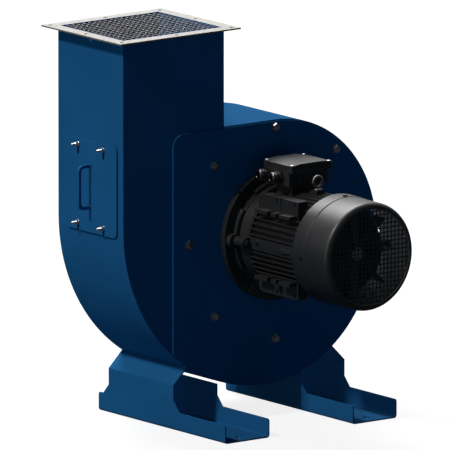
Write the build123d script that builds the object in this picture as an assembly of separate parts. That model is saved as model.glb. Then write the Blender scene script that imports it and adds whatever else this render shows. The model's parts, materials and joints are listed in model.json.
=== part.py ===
from build123d import *
import math
import os

# Centrifugal fan with a flange-mounted motor, in millimetres.
# Everything is drawn in fan coordinates: the origin is the shaft axis where it crosses the outside
# of the motor-side plate, X is to the right seen from the motor, Y goes from the motor through the
# casing to the inlet, and Z is up. The last step moves it all to the frame of the anchor holes.

# Casing
AXIS_HEIGHT = 345.0
CASING_DEPTH = 200.0
SHEET = 2.5
SCROLL_X = -20.0
SCROLL_Z = 44.0
RADIUS_LEFT = 328.0
RADIUS_BOTTOM = 260.0
RADIUS_RIGHT = 237.0
OUTLET_HEIGHT = 400.0
DUCT_WIDTH = 232.5
ROTOR_OPENING_RADIUS = 187.0
TONGUE_DROP = 36.0
TONGUE_NOSE = 13.0
TONGUE_REACH = 78.0

# Outlet flange and guard
FLANGE_WIDTH = 25.0
FLANGE_THICKNESS = 3.0
FLANGE_HOLE_RADIUS = 4.0
FLANGE_HOLE_INSET = 12.5
GUARD_PITCH = 12.7
GUARD_WIRE = 1.2
GUARD_STRIP = 1.5
GUARD_STRIP_HEIGHT = 24.0
GUARD_RIVET_DROP = 17.0
GUARD_RIVET_RADIUS = 1.6
GUARD_RIVET_HEAD = 2.8
GUARD_RIVET_HEIGHT = 1.2

# Motor cover plate
COVER_THICKNESS = 3.0
COVER_INSET = 2.5
COVER_LEFT = 235.0
COVER_CORNER = 25.0
COVER_TOE = 12.0
COVER_BOLT_COUNT = 8
COVER_BOLT_CIRCLE = 200.0
COVER_BOLT_RADIUS = 4.0
COVER_BOLT_HOLE = 4.5
COVER_BOLT_FLATS = 13.0
COVER_BOLT_HEAD = 5.3
COVER_WASHER = 1.6
COVER_BOLT_GRIP = 12.0
COVER_NUT = 6.5
WASHER_TO_FLATS = 0.62

# Feet
FOOT_WIDTH = 103.0
FOOT_PITCH = 296.0
LEFT_FOOT_X = -181.5
FOOT_LENGTH = 390.0
FOOT_FRONT = -159.0
FOOT_SHEET = 3.0
RAIL_HEIGHT = 35.5
RAIL_CORNER = 5.0
EAR_FOOT_HEIGHT = 54.0
EAR_FLARE = 17.0
EAR_LEAN = 62.0
OUTER_BEND_HEIGHT = 85.0
INNER_GAP = 4.5
ANCHOR_INSET = 25.0
ANCHOR_RADIUS = 7.0

# Hatch on the duct
HATCH_SHEET = 2.0
HATCH_WIDTH = 158.0
HATCH_FRONT = 16.0
HATCH_BOTTOM = 27.0
HATCH_HEIGHT = 173.0
HATCH_CORNER = 12.0
HATCH_GASKET = 1.5
GASKET_WIDTH = 10.0
GASKET_LAP = 4.0
HATCH_GAP = 0.3
HATCH_LIFT = 14.0
WINDOW_SIDE = 23.0
WINDOW_SILL = 33.0
WINDOW_HEAD = 48.0
WINDOW_CORNER = 10.0
STUD_SPREAD = 78.0
STUD_RISE = 147.0
STUD_RADIUS = 2.5
STUD_LENGTH = 19.0
STUD_WASHER_RADIUS = 5.0
STUD_WASHER = 1.0
STUD_NUT_FLATS = 8.0
STUD_NUT = 4.0
SLOT_WIDTH = 6.0
SLOT_HEADROOM = 8.0
HANDLE_BAR = 6.0
HANDLE_SPAN = 78.0
HANDLE_MIDDLE = 113.0
HANDLE_REACH = 28.0
HANDLE_BEND = 9.0
HANDLE_SHIFT = 2.0

# Inlet
COLLAR_RADIUS = 112.0
COLLAR_SHEET = 2.0
COLLAR_END = 250.0
INLET_OPENING_RADIUS = 122.0
COLLAR_FLANGE_RADIUS = 148.0
COLLAR_FLANGE = 3.0
INLET_BOLT_COUNT = 8
INLET_BOLT_CIRCLE = 132.0
INLET_BOLT_FIRST = 22.5
INLET_BOLT_RADIUS = 3.0
INLET_BOLT_HOLE = 3.3
INLET_BOLT_FLATS = 10.0
INLET_BOLT_HEAD = 4.0
INLET_NUT = 5.0
INLET_BOLT_TIP = 8.0
CONE_SHEET = 1.5
THROAT_RADIUS = 98.0
THROAT_START = 142.0
THROAT_END = 126.0
CONE_BEND = 10.0

# Impeller
IMPELLER_RADIUS = 180.0
BACKPLATE_START = 30.0
BACKPLATE = 3.0
BLADE_COUNT = 10
BLADE_SHEET = 2.5
BLADE_INLET_RADIUS = 110.0
BLADE_OUTLET_RADIUS = 177.0
BLADE_MIDDLE_ANGLE = 29.0
BLADE_SWEEP_ANGLE = 50.0
BLADE_INLET_WIDTH = 88.0
BLADE_OUTLET_WIDTH = 66.0
FRONT_RING = 2.0
WELD_GAP = 0.05
EYE_GAP = 4.0
EYE_LIP = 6.0
HUB_RADIUS = 30.0
HUB_START = 6.0
HUB_FLANGE_RADIUS = 58.0
HUB_FLANGE = 8.0
HUB_RIVET_COUNT = 6
HUB_RIVET_CIRCLE = 46.0
HUB_RIVET_RADIUS = 4.0
HUB_RIVET_HEAD = 2.5
HUB_RIVET_HEAD_RADIUS = 6.8

# Motor flange and drive-end shield
MOTOR_FLANGE_RADIUS = 125.0
MOTOR_FLANGE = 10.5
SPIGOT_RADIUS = 90.0
SPIGOT_HEIGHT = 4.0
SPIGOT_CLEARANCE = 0.1
MOTOR_STUD_CIRCLE = 107.5
MOTOR_STUD_RADIUS = 6.0
MOTOR_STUD_HOLE = 6.75
MOTOR_STUD_TIP = 14.0
MOTOR_NUT_FLATS = 18.0
MOTOR_NUT = 10.0
FLANGE_CHAMFER = 1.5
BODY_RADIUS = 93.0
BODY_FLARE = 3.0
RING_RADIUS = 104.0
RING_RISE = 8.5
POCKET_FLOOR = 5.5
POCKET_INSIDE = 98.0
POCKET_OUTSIDE = 121.0
POCKET_ANGLE = 23.0
NOTCH_WIDTH = 7.0
SHIELD_END = 44.0
BOSS_RADIUS = 13.5
BOSS_CIRCLE = 107.0
BOSS_END = 24.0
LUG_RADIUS = 9.5
LUG_CIRCLE = 102.0
LUG_ANGLES = (0, 180, 270)
LUG_WEB = 0.88
TIE_RADIUS = 3.0
TIE_HOLE = 3.2
TIE_CLEARANCE = 3.4
TIE_FLATS = 10.0
TIE_HEAD = 4.0
TIE_WASHER = 1.6
TIE_GRIP = 20.0
TIE_HOLE_DEPTH = 22.0
SEAL_RADIUS = 21.0
SEAL_START = 1.0
SEAL_WIDTH = 7.0
SEAL_RELIEF = 1.5
SHIELD_WALL = 8.0
SHIELD_RECESS = 18.0
SHIELD_LIP = 4.0
SHIELD_FLOOR_RADIUS = 66.0
BORE_CLEARANCE = 2.5
RELIEF_INSIDE = 40.0
RELIEF_OUTSIDE = 48.0

# Motor body
FRAME_END = 191.0
BARREL_RADIUS = 85.0
CORE_RADIUS = 77.0
FIN_TIP_RADIUS = 95.0
FIN_THICKNESS = 2.4
FIN_PITCH = 10.0
FIN_FIRST = 16.0
FINS_PER_SIDE = 5
FIN_ROOT = 3.0
BAND_RADIUS = 94.5
FRAME_RIM_RADIUS = 92.0
NECK_ROOT = 12.0
EYE_SEAT_ROOT = 6.0
PAD_REACH = 106.0
PAD_WIDTH = 46.0
PADS = ((52.0, 118.0), (122.0, 172.0))
PAD_CORNER = 16.0
PAD_SLOT_PLACE = 11.0
PAD_SLOT_WIDTH = 5.0
PAD_SLOT_LENGTH = 16.0
PAD_SLOT_DEPTH = 9.0
BAND_BOSS_START = 132.0
BAND_BOSS_LENGTH = 42.0
BAND_BOSS_RISE = 4.0
BAND_BOSS_REACH = 98.0
FRAME_LUG = 8.0
FRAME_RIM = 4.0
NECK_INSET = 14.0
NECK_START = 52.0
NECK_END = 100.0
CABLE_WAY = 36.0
CORE_START = 62.0
CORE_LENGTH = 110.0
STATOR_BORE = 46.0
AIR_GAP = 0.4
END_RING = 9.0
END_RING_INSET = 3.0
END_RING_INSIDE = 30.0
WINDING_LENGTH = 20.0
WINDING_INNER = 50.0
WINDING_OUTER = 70.0
WINDING_ROUND = 5.0

# Shaft and bearings
SHAFT_RADIUS = 14.0
SHAFT_REACH = 60.0
SHAFT_MIDDLE_RADIUS = 19.0
SHAFT_FAN_RADIUS = 10.0
SHAFT_TAIL = 258.0
RUNNING_CLEARANCE = 0.05
BEARING_BORE = 15.0
BEARING_RADIUS = 31.0
BEARING_WIDTH = 16.0
BEARING_SHOULDER = 2.0
BEARING_INNER_RING = 20.0
BEARING_SHIELD = 1.0
BEARING_SHIELD_GAP = 0.4
BEARING_RACE = 26.5
PRELOAD_WASHER = 1.5
PRELOAD_INSIDE = 26.0
DRIVE_BEARING_START = 17.0
FAN_BEARING_START = 196.0
KEY_WIDTH = 8.0
KEY_HEIGHT = 7.0
KEY_LENGTH = 40.0
KEY_DEPTH = 4.0
KEY_END_GAP = 4.0
SHAFT_CHAMFER = 1.0
SHAFT_SCREW_RADIUS = 5.0
SHAFT_SCREW_FLATS = 17.0
SHAFT_SCREW_HEAD = 6.5
SHAFT_SCREW_GRIP = 20.0
SHAFT_WASHER = 5.0
SHAFT_WASHER_INSET = 4.0

# Fan end of the motor
COWL_RADIUS = 103.0
COWL_STEP = 1.5
COWL_STEP_PLACE = 223.0
COWL_SHEET = 1.5
COWL_END = 294.0
COWL_LIP = 10.0
GRILLE_OPENING = 90.5
GRILLE_RADIUS = 91.3
GRILLE_PITCH = 8.5
GRILLE_RIM = 2.0
GRILLE_BAR = 2.2
GRILLE_BAR_DEPTH = 1.2
COWL_SCREW_PLACE = 217.0
COWL_SCREW_RADIUS = 2.5
COWL_SCREW_LENGTH = 10.0
COWL_SCREW_HEAD_RADIUS = 4.5
COWL_SCREW_HEAD = 2.5
REAR_WALL = 4.0
REAR_RIM = 8.0
REAR_LIP = 3.0
REAR_DISH = 11.0
REAR_BORE = 18.0
REAR_SEAT_WALL = 6.0
REAR_SEAT_FOOT = 10.0
ARM_DEPTH = 14.0
ARM_WIDTH = 16.0
COOLING_FAN_GAP = 3.0
COOLING_FAN_START = 228.0
COOLING_FAN_DEPTH = 30.0
COOLING_FAN_RADIUS = 86.0
COOLING_BLADE_COUNT = 8
COOLING_DISC_RADIUS = 72.0
COOLING_DISC = 3.0
COOLING_DISC_START = 4.0
COOLING_DISH = 12.0
COOLING_HUB_RADIUS = 18.0
COOLING_HUB_INSET = 3.0
COOLING_BLADE = 2.5
COOLING_BLADE_INSET = 2.0
CLIP_WIDTH = 3.0
CLIP_SHEET = 1.2

# Terminal box
BOX_LENGTH = 78.0
BOX_WIDTH = 94.0
BOX_PLACE = 68.4
BOX_BOTTOM = 107.5
BOX_RIM_BOTTOM = 134.0
BOX_TOP = 141.0
BOX_WALL = 3.0
BOX_CORNER = 5.0
BOX_GASKET = 1.5
LID_OVERHANG = 0.5
LID_START = 29.4
LID_LENGTH = 87.5
LID_TOP = 150.5
LID_EDGE = 147.5
LID_FLAT = 50.0
LID_CORNER = 3.0
LID_HOLLOW = 4.0
LID_HOLLOW_INSET = 12.0
LID_SCREW_INSET = 5.0
LID_SCREW_RADIUS = 2.0
LID_SCREW_HEAD = 3.5
LID_SCREW_HEIGHT = 3.0
LID_SCREW_SEAT = 4.0
LID_SCREW_GRIP = 5.0
LID_SCREW_CLEARANCE = 0.5
LID_HOLE_CLEARANCE = 0.2
LID_POST_RADIUS = 4.5
BOARD_LENGTH = 52.0
BOARD_LEFT = -14.0
BOARD_RIGHT = 32.0
BOARD_TOP = 117.5
BOARD_STUD_PITCH = 17.0
BOARD_STUD_RADIUS = 2.5
BOARD_STUD_HEIGHT = 14.0
BOARD_NUT_RADIUS = 4.5
BOARD_NUT = 4.0
BOARD_STUD_INSET = 12.0
BOARD_THICKNESS = 4.0
GLAND_HEIGHT = 123.0
GLAND_PLACES = (42.0, 81.0)
GLAND_RADIUS = 10.5
GLAND_HOLE = 8.0
GLAND_BORE = 5.0
GLAND_HEX = 6.0
GLAND_NECK = 3.0
GLAND_CAP = 13.0
GLAND_NECK_INSET = 1.5
GLAND_ROUND = 4.0
PLUG_RADIUS = 10.0
PLUG_HEAD = 4.0
PLUG_SOCKET = 8.0
PLUG_FLOOR = 1.5
EYE_PLACE = 134.0
EYE_RADIUS = 10.0
EYE_ROD = 3.2
EYE_COLLAR = 8.0
EYE_SEAT_WIDTH = 18.0
EYE_SEAT_RISE = 6.0
EYE_COLLAR_HEIGHT = 3.0

MOTOR_FACE = -COVER_THICKNESS
PLUG_X = -BOX_WIDTH / 6
LID_WIDTH = BOX_WIDTH + 2 * LID_OVERHANG
LID_MIDDLE = LID_START + LID_LENGTH / 2
CASING_LEFT = SCROLL_X - RADIUS_LEFT
DUCT_RIGHT = CASING_LEFT + DUCT_WIDTH
DUCT_MIDDLE = CASING_LEFT + DUCT_WIDTH / 2
BOTTOM_Z = SCROLL_Z - (RADIUS_LEFT - RADIUS_BOTTOM)
RIGHT_X = SCROLL_X + (RADIUS_BOTTOM - RADIUS_RIGHT)
ROOF_Z = BOTTOM_Z + RADIUS_RIGHT
DUCT_TOP = OUTLET_HEIGHT - FLANGE_THICKNESS
HATCH_MIDDLE = HATCH_FRONT + HATCH_WIDTH / 2
LOWER_STUD_Z = HATCH_BOTTOM + HATCH_LIFT
GASKET_FACE = CASING_LEFT - HATCH_GAP
HATCH_BACK = GASKET_FACE - HATCH_GASKET
HATCH_FACE = HATCH_BACK - HATCH_SHEET
FEET_MIDDLE_X = LEFT_FOOT_X + FOOT_PITCH / 2
FEET_MIDDLE_Y = FOOT_FRONT + FOOT_LENGTH / 2
TO_ANCHOR_FRAME = Pos(-FEET_MIDDLE_X, -FEET_MIDDLE_Y, AXIS_HEIGHT)


def polar(radius, degrees):
    angle = math.radians(degrees)
    return radius * math.cos(angle), radius * math.sin(angle)


def slab(face, y_start, y_end):
    """Push a face drawn in X and Z along Y."""
    return extrude(Plane.XZ.offset(-y_start) * face, amount=y_end - y_start, dir=(0, 1, 0))


def rod(radius, y_start, y_end, x=0.0, z=0.0):
    return slab(Pos(x, z) * Circle(radius), y_start, y_end)


def block(x_start, x_end, y_start, y_end, z_start, z_end):
    middle = Pos((x_start + x_end) / 2, (y_start + y_end) / 2, (z_start + z_end) / 2)
    return middle * Box(x_end - x_start, y_end - y_start, z_end - z_start)


def turned(*outline):
    """Turn an outline of radius and Y about the shaft axis."""
    return revolve(make_face(Polyline(*outline, close=True)), axis=Axis.Y)


def ring(outer, inner, y_start, y_end):
    return slab(Circle(outer) - Circle(inner), y_start, y_end)


def group(shapes):
    """Separate solids that share one node."""
    return Compound([solid for shape in shapes for solid in shape.solids()])


def around(count, radius, first=0.0):
    return [polar(radius, first + 360.0 * step / count) for step in range(count)]


def sheet_profile(path, thickness):
    """Give a folded path its sheet thickness, on its left side."""
    return make_face(offset(path, amount=thickness, side=Side.LEFT))


def hexagon(across_flats):
    return RegularPolygon(across_flats / 2, 6, major_radius=False)


def hex_bolt(x, z, shank, flats, head, washer, seat, tip):
    """Bolt along Y with a washer: the washer seats at seat, the head is on the motor's side."""
    washer_face = seat - washer
    body = rod(flats * WASHER_TO_FLATS, washer_face, seat, x, z)
    body += slab(Pos(x, z) * hexagon(flats), washer_face - head, washer_face)
    return body + rod(shank, washer_face, tip, x, z)


def casing_outline(inset=0.0, top=DUCT_TOP):
    """Scroll and duct, drawn as three tangent arcs and the straight walls."""
    left = CASING_LEFT + inset
    right = DUCT_RIGHT - inset
    roof = ROOF_Z - inset
    return make_face(
        Curve()
        + Line((left, top), (left, SCROLL_Z))
        + CenterArc((SCROLL_X, SCROLL_Z), RADIUS_LEFT - inset, 180, 90)
        + CenterArc((SCROLL_X, BOTTOM_Z), RADIUS_BOTTOM - inset, 270, 90)
        + CenterArc((RIGHT_X, BOTTOM_Z), RADIUS_RIGHT - inset, 0, 90)
        + Line((RIGHT_X, roof), (right, roof))
        + Line((right, roof), (right, top))
        + Line((right, top), (left, top))
    )


def hatch_window(margin=0.0):
    """Hole in the duct behind the hatch, between the four studs; a margin makes it wider all round."""
    low = HATCH_BOTTOM + WINDOW_SILL
    high = HATCH_BOTTOM + HATCH_HEIGHT - WINDOW_HEAD
    width = HATCH_WIDTH - 2 * WINDOW_SIDE + 2 * margin
    middle = Pos(HATCH_MIDDLE, (low + high) / 2)
    return middle * RectangleRounded(width, high - low + 2 * margin, WINDOW_CORNER + margin)


def side_slab(face, x_start, x_end):
    """Push a face drawn in Y and Z along X."""
    return extrude(Plane.YZ.offset(x_start) * face, amount=x_end - x_start)


def stud_places():
    for side in (-0.5, 0.5):
        for rise in (0.0, STUD_RISE):
            yield HATCH_MIDDLE + side * STUD_SPREAD, LOWER_STUD_Z + rise


def scroll_wrapper():
    band = casing_outline() - casing_outline(SHEET, DUCT_TOP + SHEET)
    body = slab(band, SHEET, CASING_DEPTH - SHEET)
    body -= side_slab(hatch_window(), CASING_LEFT - SHEET, CASING_LEFT + 2 * SHEET)
    for y, z in stud_places():
        body -= side_slab(Pos(y, z) * Circle(STUD_RADIUS), CASING_LEFT, CASING_LEFT + SHEET)
    return body - guard_rivets_shanks()


def motor_side_plate():
    face = casing_outline() - Circle(ROTOR_OPENING_RADIUS)
    for x, z in around(COVER_BOLT_COUNT, COVER_BOLT_CIRCLE):
        face -= Pos(x, z) * Circle(COVER_BOLT_HOLE)
    return slab(face, 0, SHEET) - guard_rivets_shanks()


def inlet_side_plate():
    face = casing_outline() - Circle(INLET_OPENING_RADIUS)
    for x, z in around(INLET_BOLT_COUNT, INLET_BOLT_CIRCLE, INLET_BOLT_FIRST):
        face -= Pos(x, z) * Circle(INLET_BOLT_HOLE)
    return slab(face, CASING_DEPTH - SHEET, CASING_DEPTH) - guard_rivets_shanks()


def cutoff_tongue():
    """Lip that splits the outlet stream from the scroll, folded from one strip."""
    roof = ROOF_Z - SHEET
    path = FilletPolyline(
        (DUCT_RIGHT - SHEET, roof),
        (DUCT_RIGHT - SHEET, roof - TONGUE_DROP),
        (DUCT_RIGHT - SHEET + TONGUE_REACH, roof),
        radius=TONGUE_NOSE,
    )
    strip = slab(sheet_profile(path, SHEET), SHEET, CASING_DEPTH - SHEET)
    return strip & slab(casing_outline(SHEET), SHEET, CASING_DEPTH - SHEET)


def outlet_flange():
    width = DUCT_WIDTH - 2 * SHEET
    depth = CASING_DEPTH - 2 * SHEET
    face = Rectangle(width + 2 * FLANGE_WIDTH, depth + 2 * FLANGE_WIDTH) - Rectangle(width, depth)
    reach_x = width / 2 + FLANGE_WIDTH - FLANGE_HOLE_INSET
    reach_y = depth / 2 + FLANGE_WIDTH - FLANGE_HOLE_INSET
    for step_x in (-1, 0, 1):
        for step_y in (-1, 0, 1):
            if step_x or step_y:
                face -= Pos(step_x * reach_x, step_y * reach_y) * Circle(FLANGE_HOLE_RADIUS)
    return Pos(DUCT_MIDDLE, CASING_DEPTH / 2, DUCT_TOP) * extrude(face, amount=FLANGE_THICKNESS)


def guard_frame():
    """Strip folded to a rectangle inside the mouth of the duct."""
    width = DUCT_WIDTH - 2 * SHEET
    depth = CASING_DEPTH - 2 * SHEET
    face = Rectangle(width, depth) - Rectangle(width - 2 * GUARD_STRIP, depth - 2 * GUARD_STRIP)
    place = Pos(DUCT_MIDDLE, CASING_DEPTH / 2, OUTLET_HEIGHT - GUARD_STRIP_HEIGHT)
    return place * extrude(face, amount=GUARD_STRIP_HEIGHT) - guard_rivets_shanks()


def guard_wires(span, length, along_x, z):
    """Evenly spaced wires with flats where they are welded to the other layer."""
    cells = round(span / GUARD_PITCH)
    section = Rot(0, 0, 22.5) * RegularPolygon(GUARD_WIRE / 2, 8, major_radius=False)
    turn = Plane.YZ if along_x else Plane.XZ
    wire = extrude(turn * section, amount=length / 2, both=True)
    wires = []
    for step in range(1, cells):
        shift = span * (step / cells - 0.5)
        wires.append(Pos(0 if along_x else shift, shift if along_x else 0, z) * wire)
    return wires


def outlet_guard():
    width = DUCT_WIDTH - 2 * (SHEET + GUARD_STRIP)
    depth = CASING_DEPTH - 2 * (SHEET + GUARD_STRIP)
    middle = Pos(DUCT_MIDDLE, CASING_DEPTH / 2, 0)
    upper = OUTLET_HEIGHT - GUARD_WIRE / 2
    wires = guard_wires(depth, width, True, upper)
    wires += guard_wires(width, depth, False, upper - GUARD_WIRE)
    return middle * group(wires)


def rivet_places():
    """Middle of each side of the duct, with the direction that faces out."""
    z = OUTLET_HEIGHT - GUARD_RIVET_DROP
    half_depth = CASING_DEPTH / 2
    return (
        Location((CASING_LEFT, half_depth, z), (0, -90, 0)),
        Location((DUCT_RIGHT, half_depth, z), (0, 90, 0)),
        Location((DUCT_MIDDLE, 0, z), (90, 0, 0)),
        Location((DUCT_MIDDLE, CASING_DEPTH, z), (-90, 0, 0)),
    )


def guard_rivets_shanks():
    shank = Cylinder(GUARD_RIVET_RADIUS, 2 * (SHEET + GUARD_STRIP))
    return [place * shank for place in rivet_places()]


def guard_rivets():
    grip = SHEET + GUARD_STRIP
    outline = Polyline(
        (0, -grip - GUARD_RIVET_HEIGHT),
        (GUARD_RIVET_HEAD, -grip - GUARD_RIVET_HEIGHT),
        (GUARD_RIVET_HEAD, -grip),
        (GUARD_RIVET_RADIUS, -grip),
        (GUARD_RIVET_RADIUS, 0),
        (GUARD_RIVET_HEAD, 0),
        (GUARD_RIVET_RADIUS, GUARD_RIVET_HEIGHT),
        (0, GUARD_RIVET_HEIGHT),
        close=True,
    )
    rivet = revolve(Plane.XZ * make_face(outline), axis=Axis.Z)
    return group([place * rivet for place in rivet_places()])


def motor_cover_plate():
    reach = 2 * RADIUS_LEFT
    window = Pos(-COVER_LEFT + reach / 2, ROOF_Z - COVER_INSET - reach / 2) * Rectangle(reach, reach)
    face = casing_outline(COVER_INSET) & window
    left_corners = face.vertices().filter_by(lambda v: abs(v.X + COVER_LEFT) < 0.01).sort_by(Axis.Y)
    face = fillet(left_corners[-1], COVER_CORNER)
    left_corners = face.vertices().filter_by(lambda v: abs(v.X + COVER_LEFT) < 0.01).sort_by(Axis.Y)
    face = fillet(left_corners[0], COVER_TOE)
    face -= Circle(SPIGOT_RADIUS + SPIGOT_CLEARANCE)
    for x, z in around(COVER_BOLT_COUNT, COVER_BOLT_CIRCLE):
        face -= Pos(x, z) * Circle(COVER_BOLT_HOLE)
    for x, z in around(4, MOTOR_STUD_CIRCLE, 45):
        face -= Pos(x, z) * Circle(MOTOR_STUD_HOLE)
    return slab(face, -COVER_THICKNESS, 0)


def cover_bolts():
    places = around(COVER_BOLT_COUNT, COVER_BOLT_CIRCLE)
    bolts = []
    for x, z in places:
        sizes = (COVER_BOLT_RADIUS, COVER_BOLT_FLATS, COVER_BOLT_HEAD, COVER_WASHER)
        bolts.append(hex_bolt(x, z, *sizes, MOTOR_FACE, COVER_BOLT_GRIP))
    return group(bolts)


def cover_weld_nuts():
    face = hexagon(COVER_BOLT_FLATS) - Circle(COVER_BOLT_RADIUS)
    places = around(COVER_BOLT_COUNT, COVER_BOLT_CIRCLE)
    return group([slab(Pos(x, z) * face, SHEET, SHEET + COVER_NUT) for x, z in places])


def foot(outer_side):
    """Folded channel: the outer wall leans in to the scroll, the inner one stops just under it."""
    half = FOOT_WIDTH / 2
    middle_x = LEFT_FOOT_X if outer_side < 0 else LEFT_FOOT_X + FOOT_PITCH
    floor = -AXIS_HEIGHT
    bend = floor + OUTER_BEND_HEIGHT
    path = Polyline(
        (middle_x - outer_side * half, bend),
        (middle_x - outer_side * half, floor),
        (middle_x + outer_side * half, floor),
        (middle_x + outer_side * half, bend),
        (middle_x + outer_side * (half - EAR_LEAN), bend + EAR_LEAN),
    )
    inward = Side.LEFT if outer_side > 0 else Side.RIGHT
    profile = make_face(offset(path, amount=FOOT_SHEET, side=inward))
    bottom_corners = profile.vertices().filter_by(lambda v: v.Y < floor + 2 * FOOT_SHEET)
    outside = [v for v in bottom_corners if abs(v.Y - floor) < 0.01]
    profile = fillet(outside, 2 * FOOT_SHEET)
    inside = [v for v in profile.vertices() if abs(v.Y - floor - FOOT_SHEET) < 0.01]
    profile = fillet(inside, FOOT_SHEET)
    body = slab(profile, FOOT_FRONT, FOOT_FRONT + FOOT_LENGTH)
    top = bend + EAR_LEAN
    ear = make_face(
        Polyline(
            (FOOT_FRONT, floor),
            (FOOT_FRONT + FOOT_LENGTH, floor),
            (FOOT_FRONT + FOOT_LENGTH, floor + RAIL_HEIGHT),
            (CASING_DEPTH + EAR_FLARE, floor + RAIL_HEIGHT),
            (CASING_DEPTH, floor + EAR_FOOT_HEIGHT),
            (CASING_DEPTH, top),
            (0, top),
            (0, floor + EAR_FOOT_HEIGHT),
            (-EAR_FLARE, floor + RAIL_HEIGHT),
            (FOOT_FRONT, floor + RAIL_HEIGHT),
            close=True,
        )
    )
    ends = (FOOT_FRONT, FOOT_FRONT + FOOT_LENGTH)
    corners = [v for v in ear.vertices() if min(abs(v.X - end) for end in ends) < 0.01 and v.Y > floor + 1]
    ear = fillet(corners, RAIL_CORNER)
    body &= side_slab(ear, middle_x - half, middle_x + half)
    body -= slab(casing_outline(), 0, CASING_DEPTH)
    inner_x = middle_x - outer_side * (half - FOOT_SHEET / 2)
    clear = slab(casing_outline(-INNER_GAP), -EAR_FLARE, CASING_DEPTH + EAR_FLARE)
    body -= clear & block(
        inner_x - FOOT_SHEET, inner_x + FOOT_SHEET, -EAR_FLARE, CASING_DEPTH + EAR_FLARE, floor, 0
    )
    for y in (FOOT_FRONT + ANCHOR_INSET, FOOT_FRONT + FOOT_LENGTH - ANCHOR_INSET):
        body -= Pos(middle_x, y, floor) * Cylinder(ANCHOR_RADIUS, 4 * FOOT_SHEET)
    return body


def hatch_plate():
    middle = Pos(HATCH_MIDDLE, HATCH_BOTTOM + HATCH_HEIGHT / 2)
    face = middle * RectangleRounded(HATCH_WIDTH, HATCH_HEIGHT, HATCH_CORNER)
    for y, z in stud_places():
        if z > LOWER_STUD_Z:
            top = z + SLOT_HEADROOM
            bottom = z - HATCH_LIFT - 2 * STUD_RADIUS
        else:
            top = z + SLOT_WIDTH / 2
            bottom = HATCH_BOTTOM - SLOT_WIDTH
        slot = SlotOverall(top - bottom, SLOT_WIDTH, rotation=90)
        face -= Pos(y, (top + bottom) / 2) * slot
    return side_slab(face, HATCH_FACE, HATCH_BACK)


def hatch_gasket():
    """Closed frame of rubber strip, glued to the hatch round the window."""
    seal = hatch_window(GASKET_LAP + GASKET_WIDTH) - hatch_window(GASKET_LAP)
    return side_slab(seal, HATCH_BACK, GASKET_FACE)


def hatch_handle():
    """Bow of square bar with its two ends welded to the hatch."""
    out = HATCH_FACE - HANDLE_REACH + HANDLE_BAR / 2
    low = HANDLE_MIDDLE - HANDLE_SPAN / 2
    high = HANDLE_MIDDLE + HANDLE_SPAN / 2
    corners = ((HATCH_FACE, low), (out, low), (out, high), (HATCH_FACE, high))
    path = FilletPolyline(*corners, radius=HANDLE_BEND)
    path = Plane.XZ.offset(-HATCH_MIDDLE - HANDLE_SHIFT) * path
    start = Plane(origin=path @ 0, x_dir=(0, 1, 0), z_dir=path % 0)
    return sweep(start * Rectangle(HANDLE_BAR, HANDLE_BAR), path=path)


def hatch_studs():
    studs = []
    for y, z in stud_places():
        stud = Pos(y, z) * Circle(STUD_RADIUS)
        studs.append(side_slab(stud, CASING_LEFT - STUD_LENGTH, CASING_LEFT + SHEET))
    return group(studs)


def hatch_washers():
    seat = HATCH_FACE - HATCH_GAP
    face = Circle(STUD_WASHER_RADIUS) - Circle(STUD_RADIUS)
    return group([side_slab(Pos(y, z) * face, seat - STUD_WASHER, seat) for y, z in stud_places()])


def hatch_nuts():
    seat = HATCH_FACE - HATCH_GAP - STUD_WASHER
    face = hexagon(STUD_NUT_FLATS) - Circle(STUD_RADIUS)
    return group([side_slab(Pos(y, z) * face, seat - STUD_NUT, seat) for y, z in stud_places()])


def inlet_cone():
    """Spun sheet: flat rim outside the side plate, cone and short throat inside."""
    rim = CASING_DEPTH + CONE_SHEET
    bore = COLLAR_RADIUS - COLLAR_SHEET - CONE_SHEET
    path = FilletPolyline(
        (THROAT_RADIUS, THROAT_END),
        (THROAT_RADIUS, THROAT_START),
        (bore, rim),
        (COLLAR_FLANGE_RADIUS, rim),
        radius=CONE_BEND,
    )
    body = revolve(make_face(offset(path, amount=CONE_SHEET, side=Side.RIGHT)), axis=Axis.Y)
    for x, z in around(INLET_BOLT_COUNT, INLET_BOLT_CIRCLE, INLET_BOLT_FIRST):
        body -= rod(INLET_BOLT_HOLE, CASING_DEPTH - SHEET, CASING_DEPTH + 4 * SHEET, x, z)
    return body


def inlet_collar():
    seat = CASING_DEPTH + CONE_SHEET
    inside = COLLAR_RADIUS - COLLAR_SHEET
    body = turned(
        (inside, seat),
        (COLLAR_FLANGE_RADIUS, seat),
        (COLLAR_FLANGE_RADIUS, seat + COLLAR_FLANGE),
        (COLLAR_RADIUS, seat + COLLAR_FLANGE),
        (COLLAR_RADIUS, COLLAR_END),
        (inside, COLLAR_END),
    )
    for x, z in around(INLET_BOLT_COUNT, INLET_BOLT_CIRCLE, INLET_BOLT_FIRST):
        body -= rod(INLET_BOLT_HOLE, CASING_DEPTH - SHEET, CASING_DEPTH + 4 * SHEET, x, z)
    return body


def inlet_screws():
    seat = CASING_DEPTH + CONE_SHEET + COLLAR_FLANGE
    inside = CASING_DEPTH - SHEET
    screws = []
    for x, z in around(INLET_BOLT_COUNT, INLET_BOLT_CIRCLE, INLET_BOLT_FIRST):
        head = slab(Pos(x, z) * hexagon(INLET_BOLT_FLATS), seat, seat + INLET_BOLT_HEAD)
        nut = slab(Pos(x, z) * hexagon(INLET_BOLT_FLATS), inside - INLET_NUT, inside)
        screws.append(head + rod(INLET_BOLT_RADIUS, inside - INLET_BOLT_TIP, seat, x, z) + nut)
    return group(screws)


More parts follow.
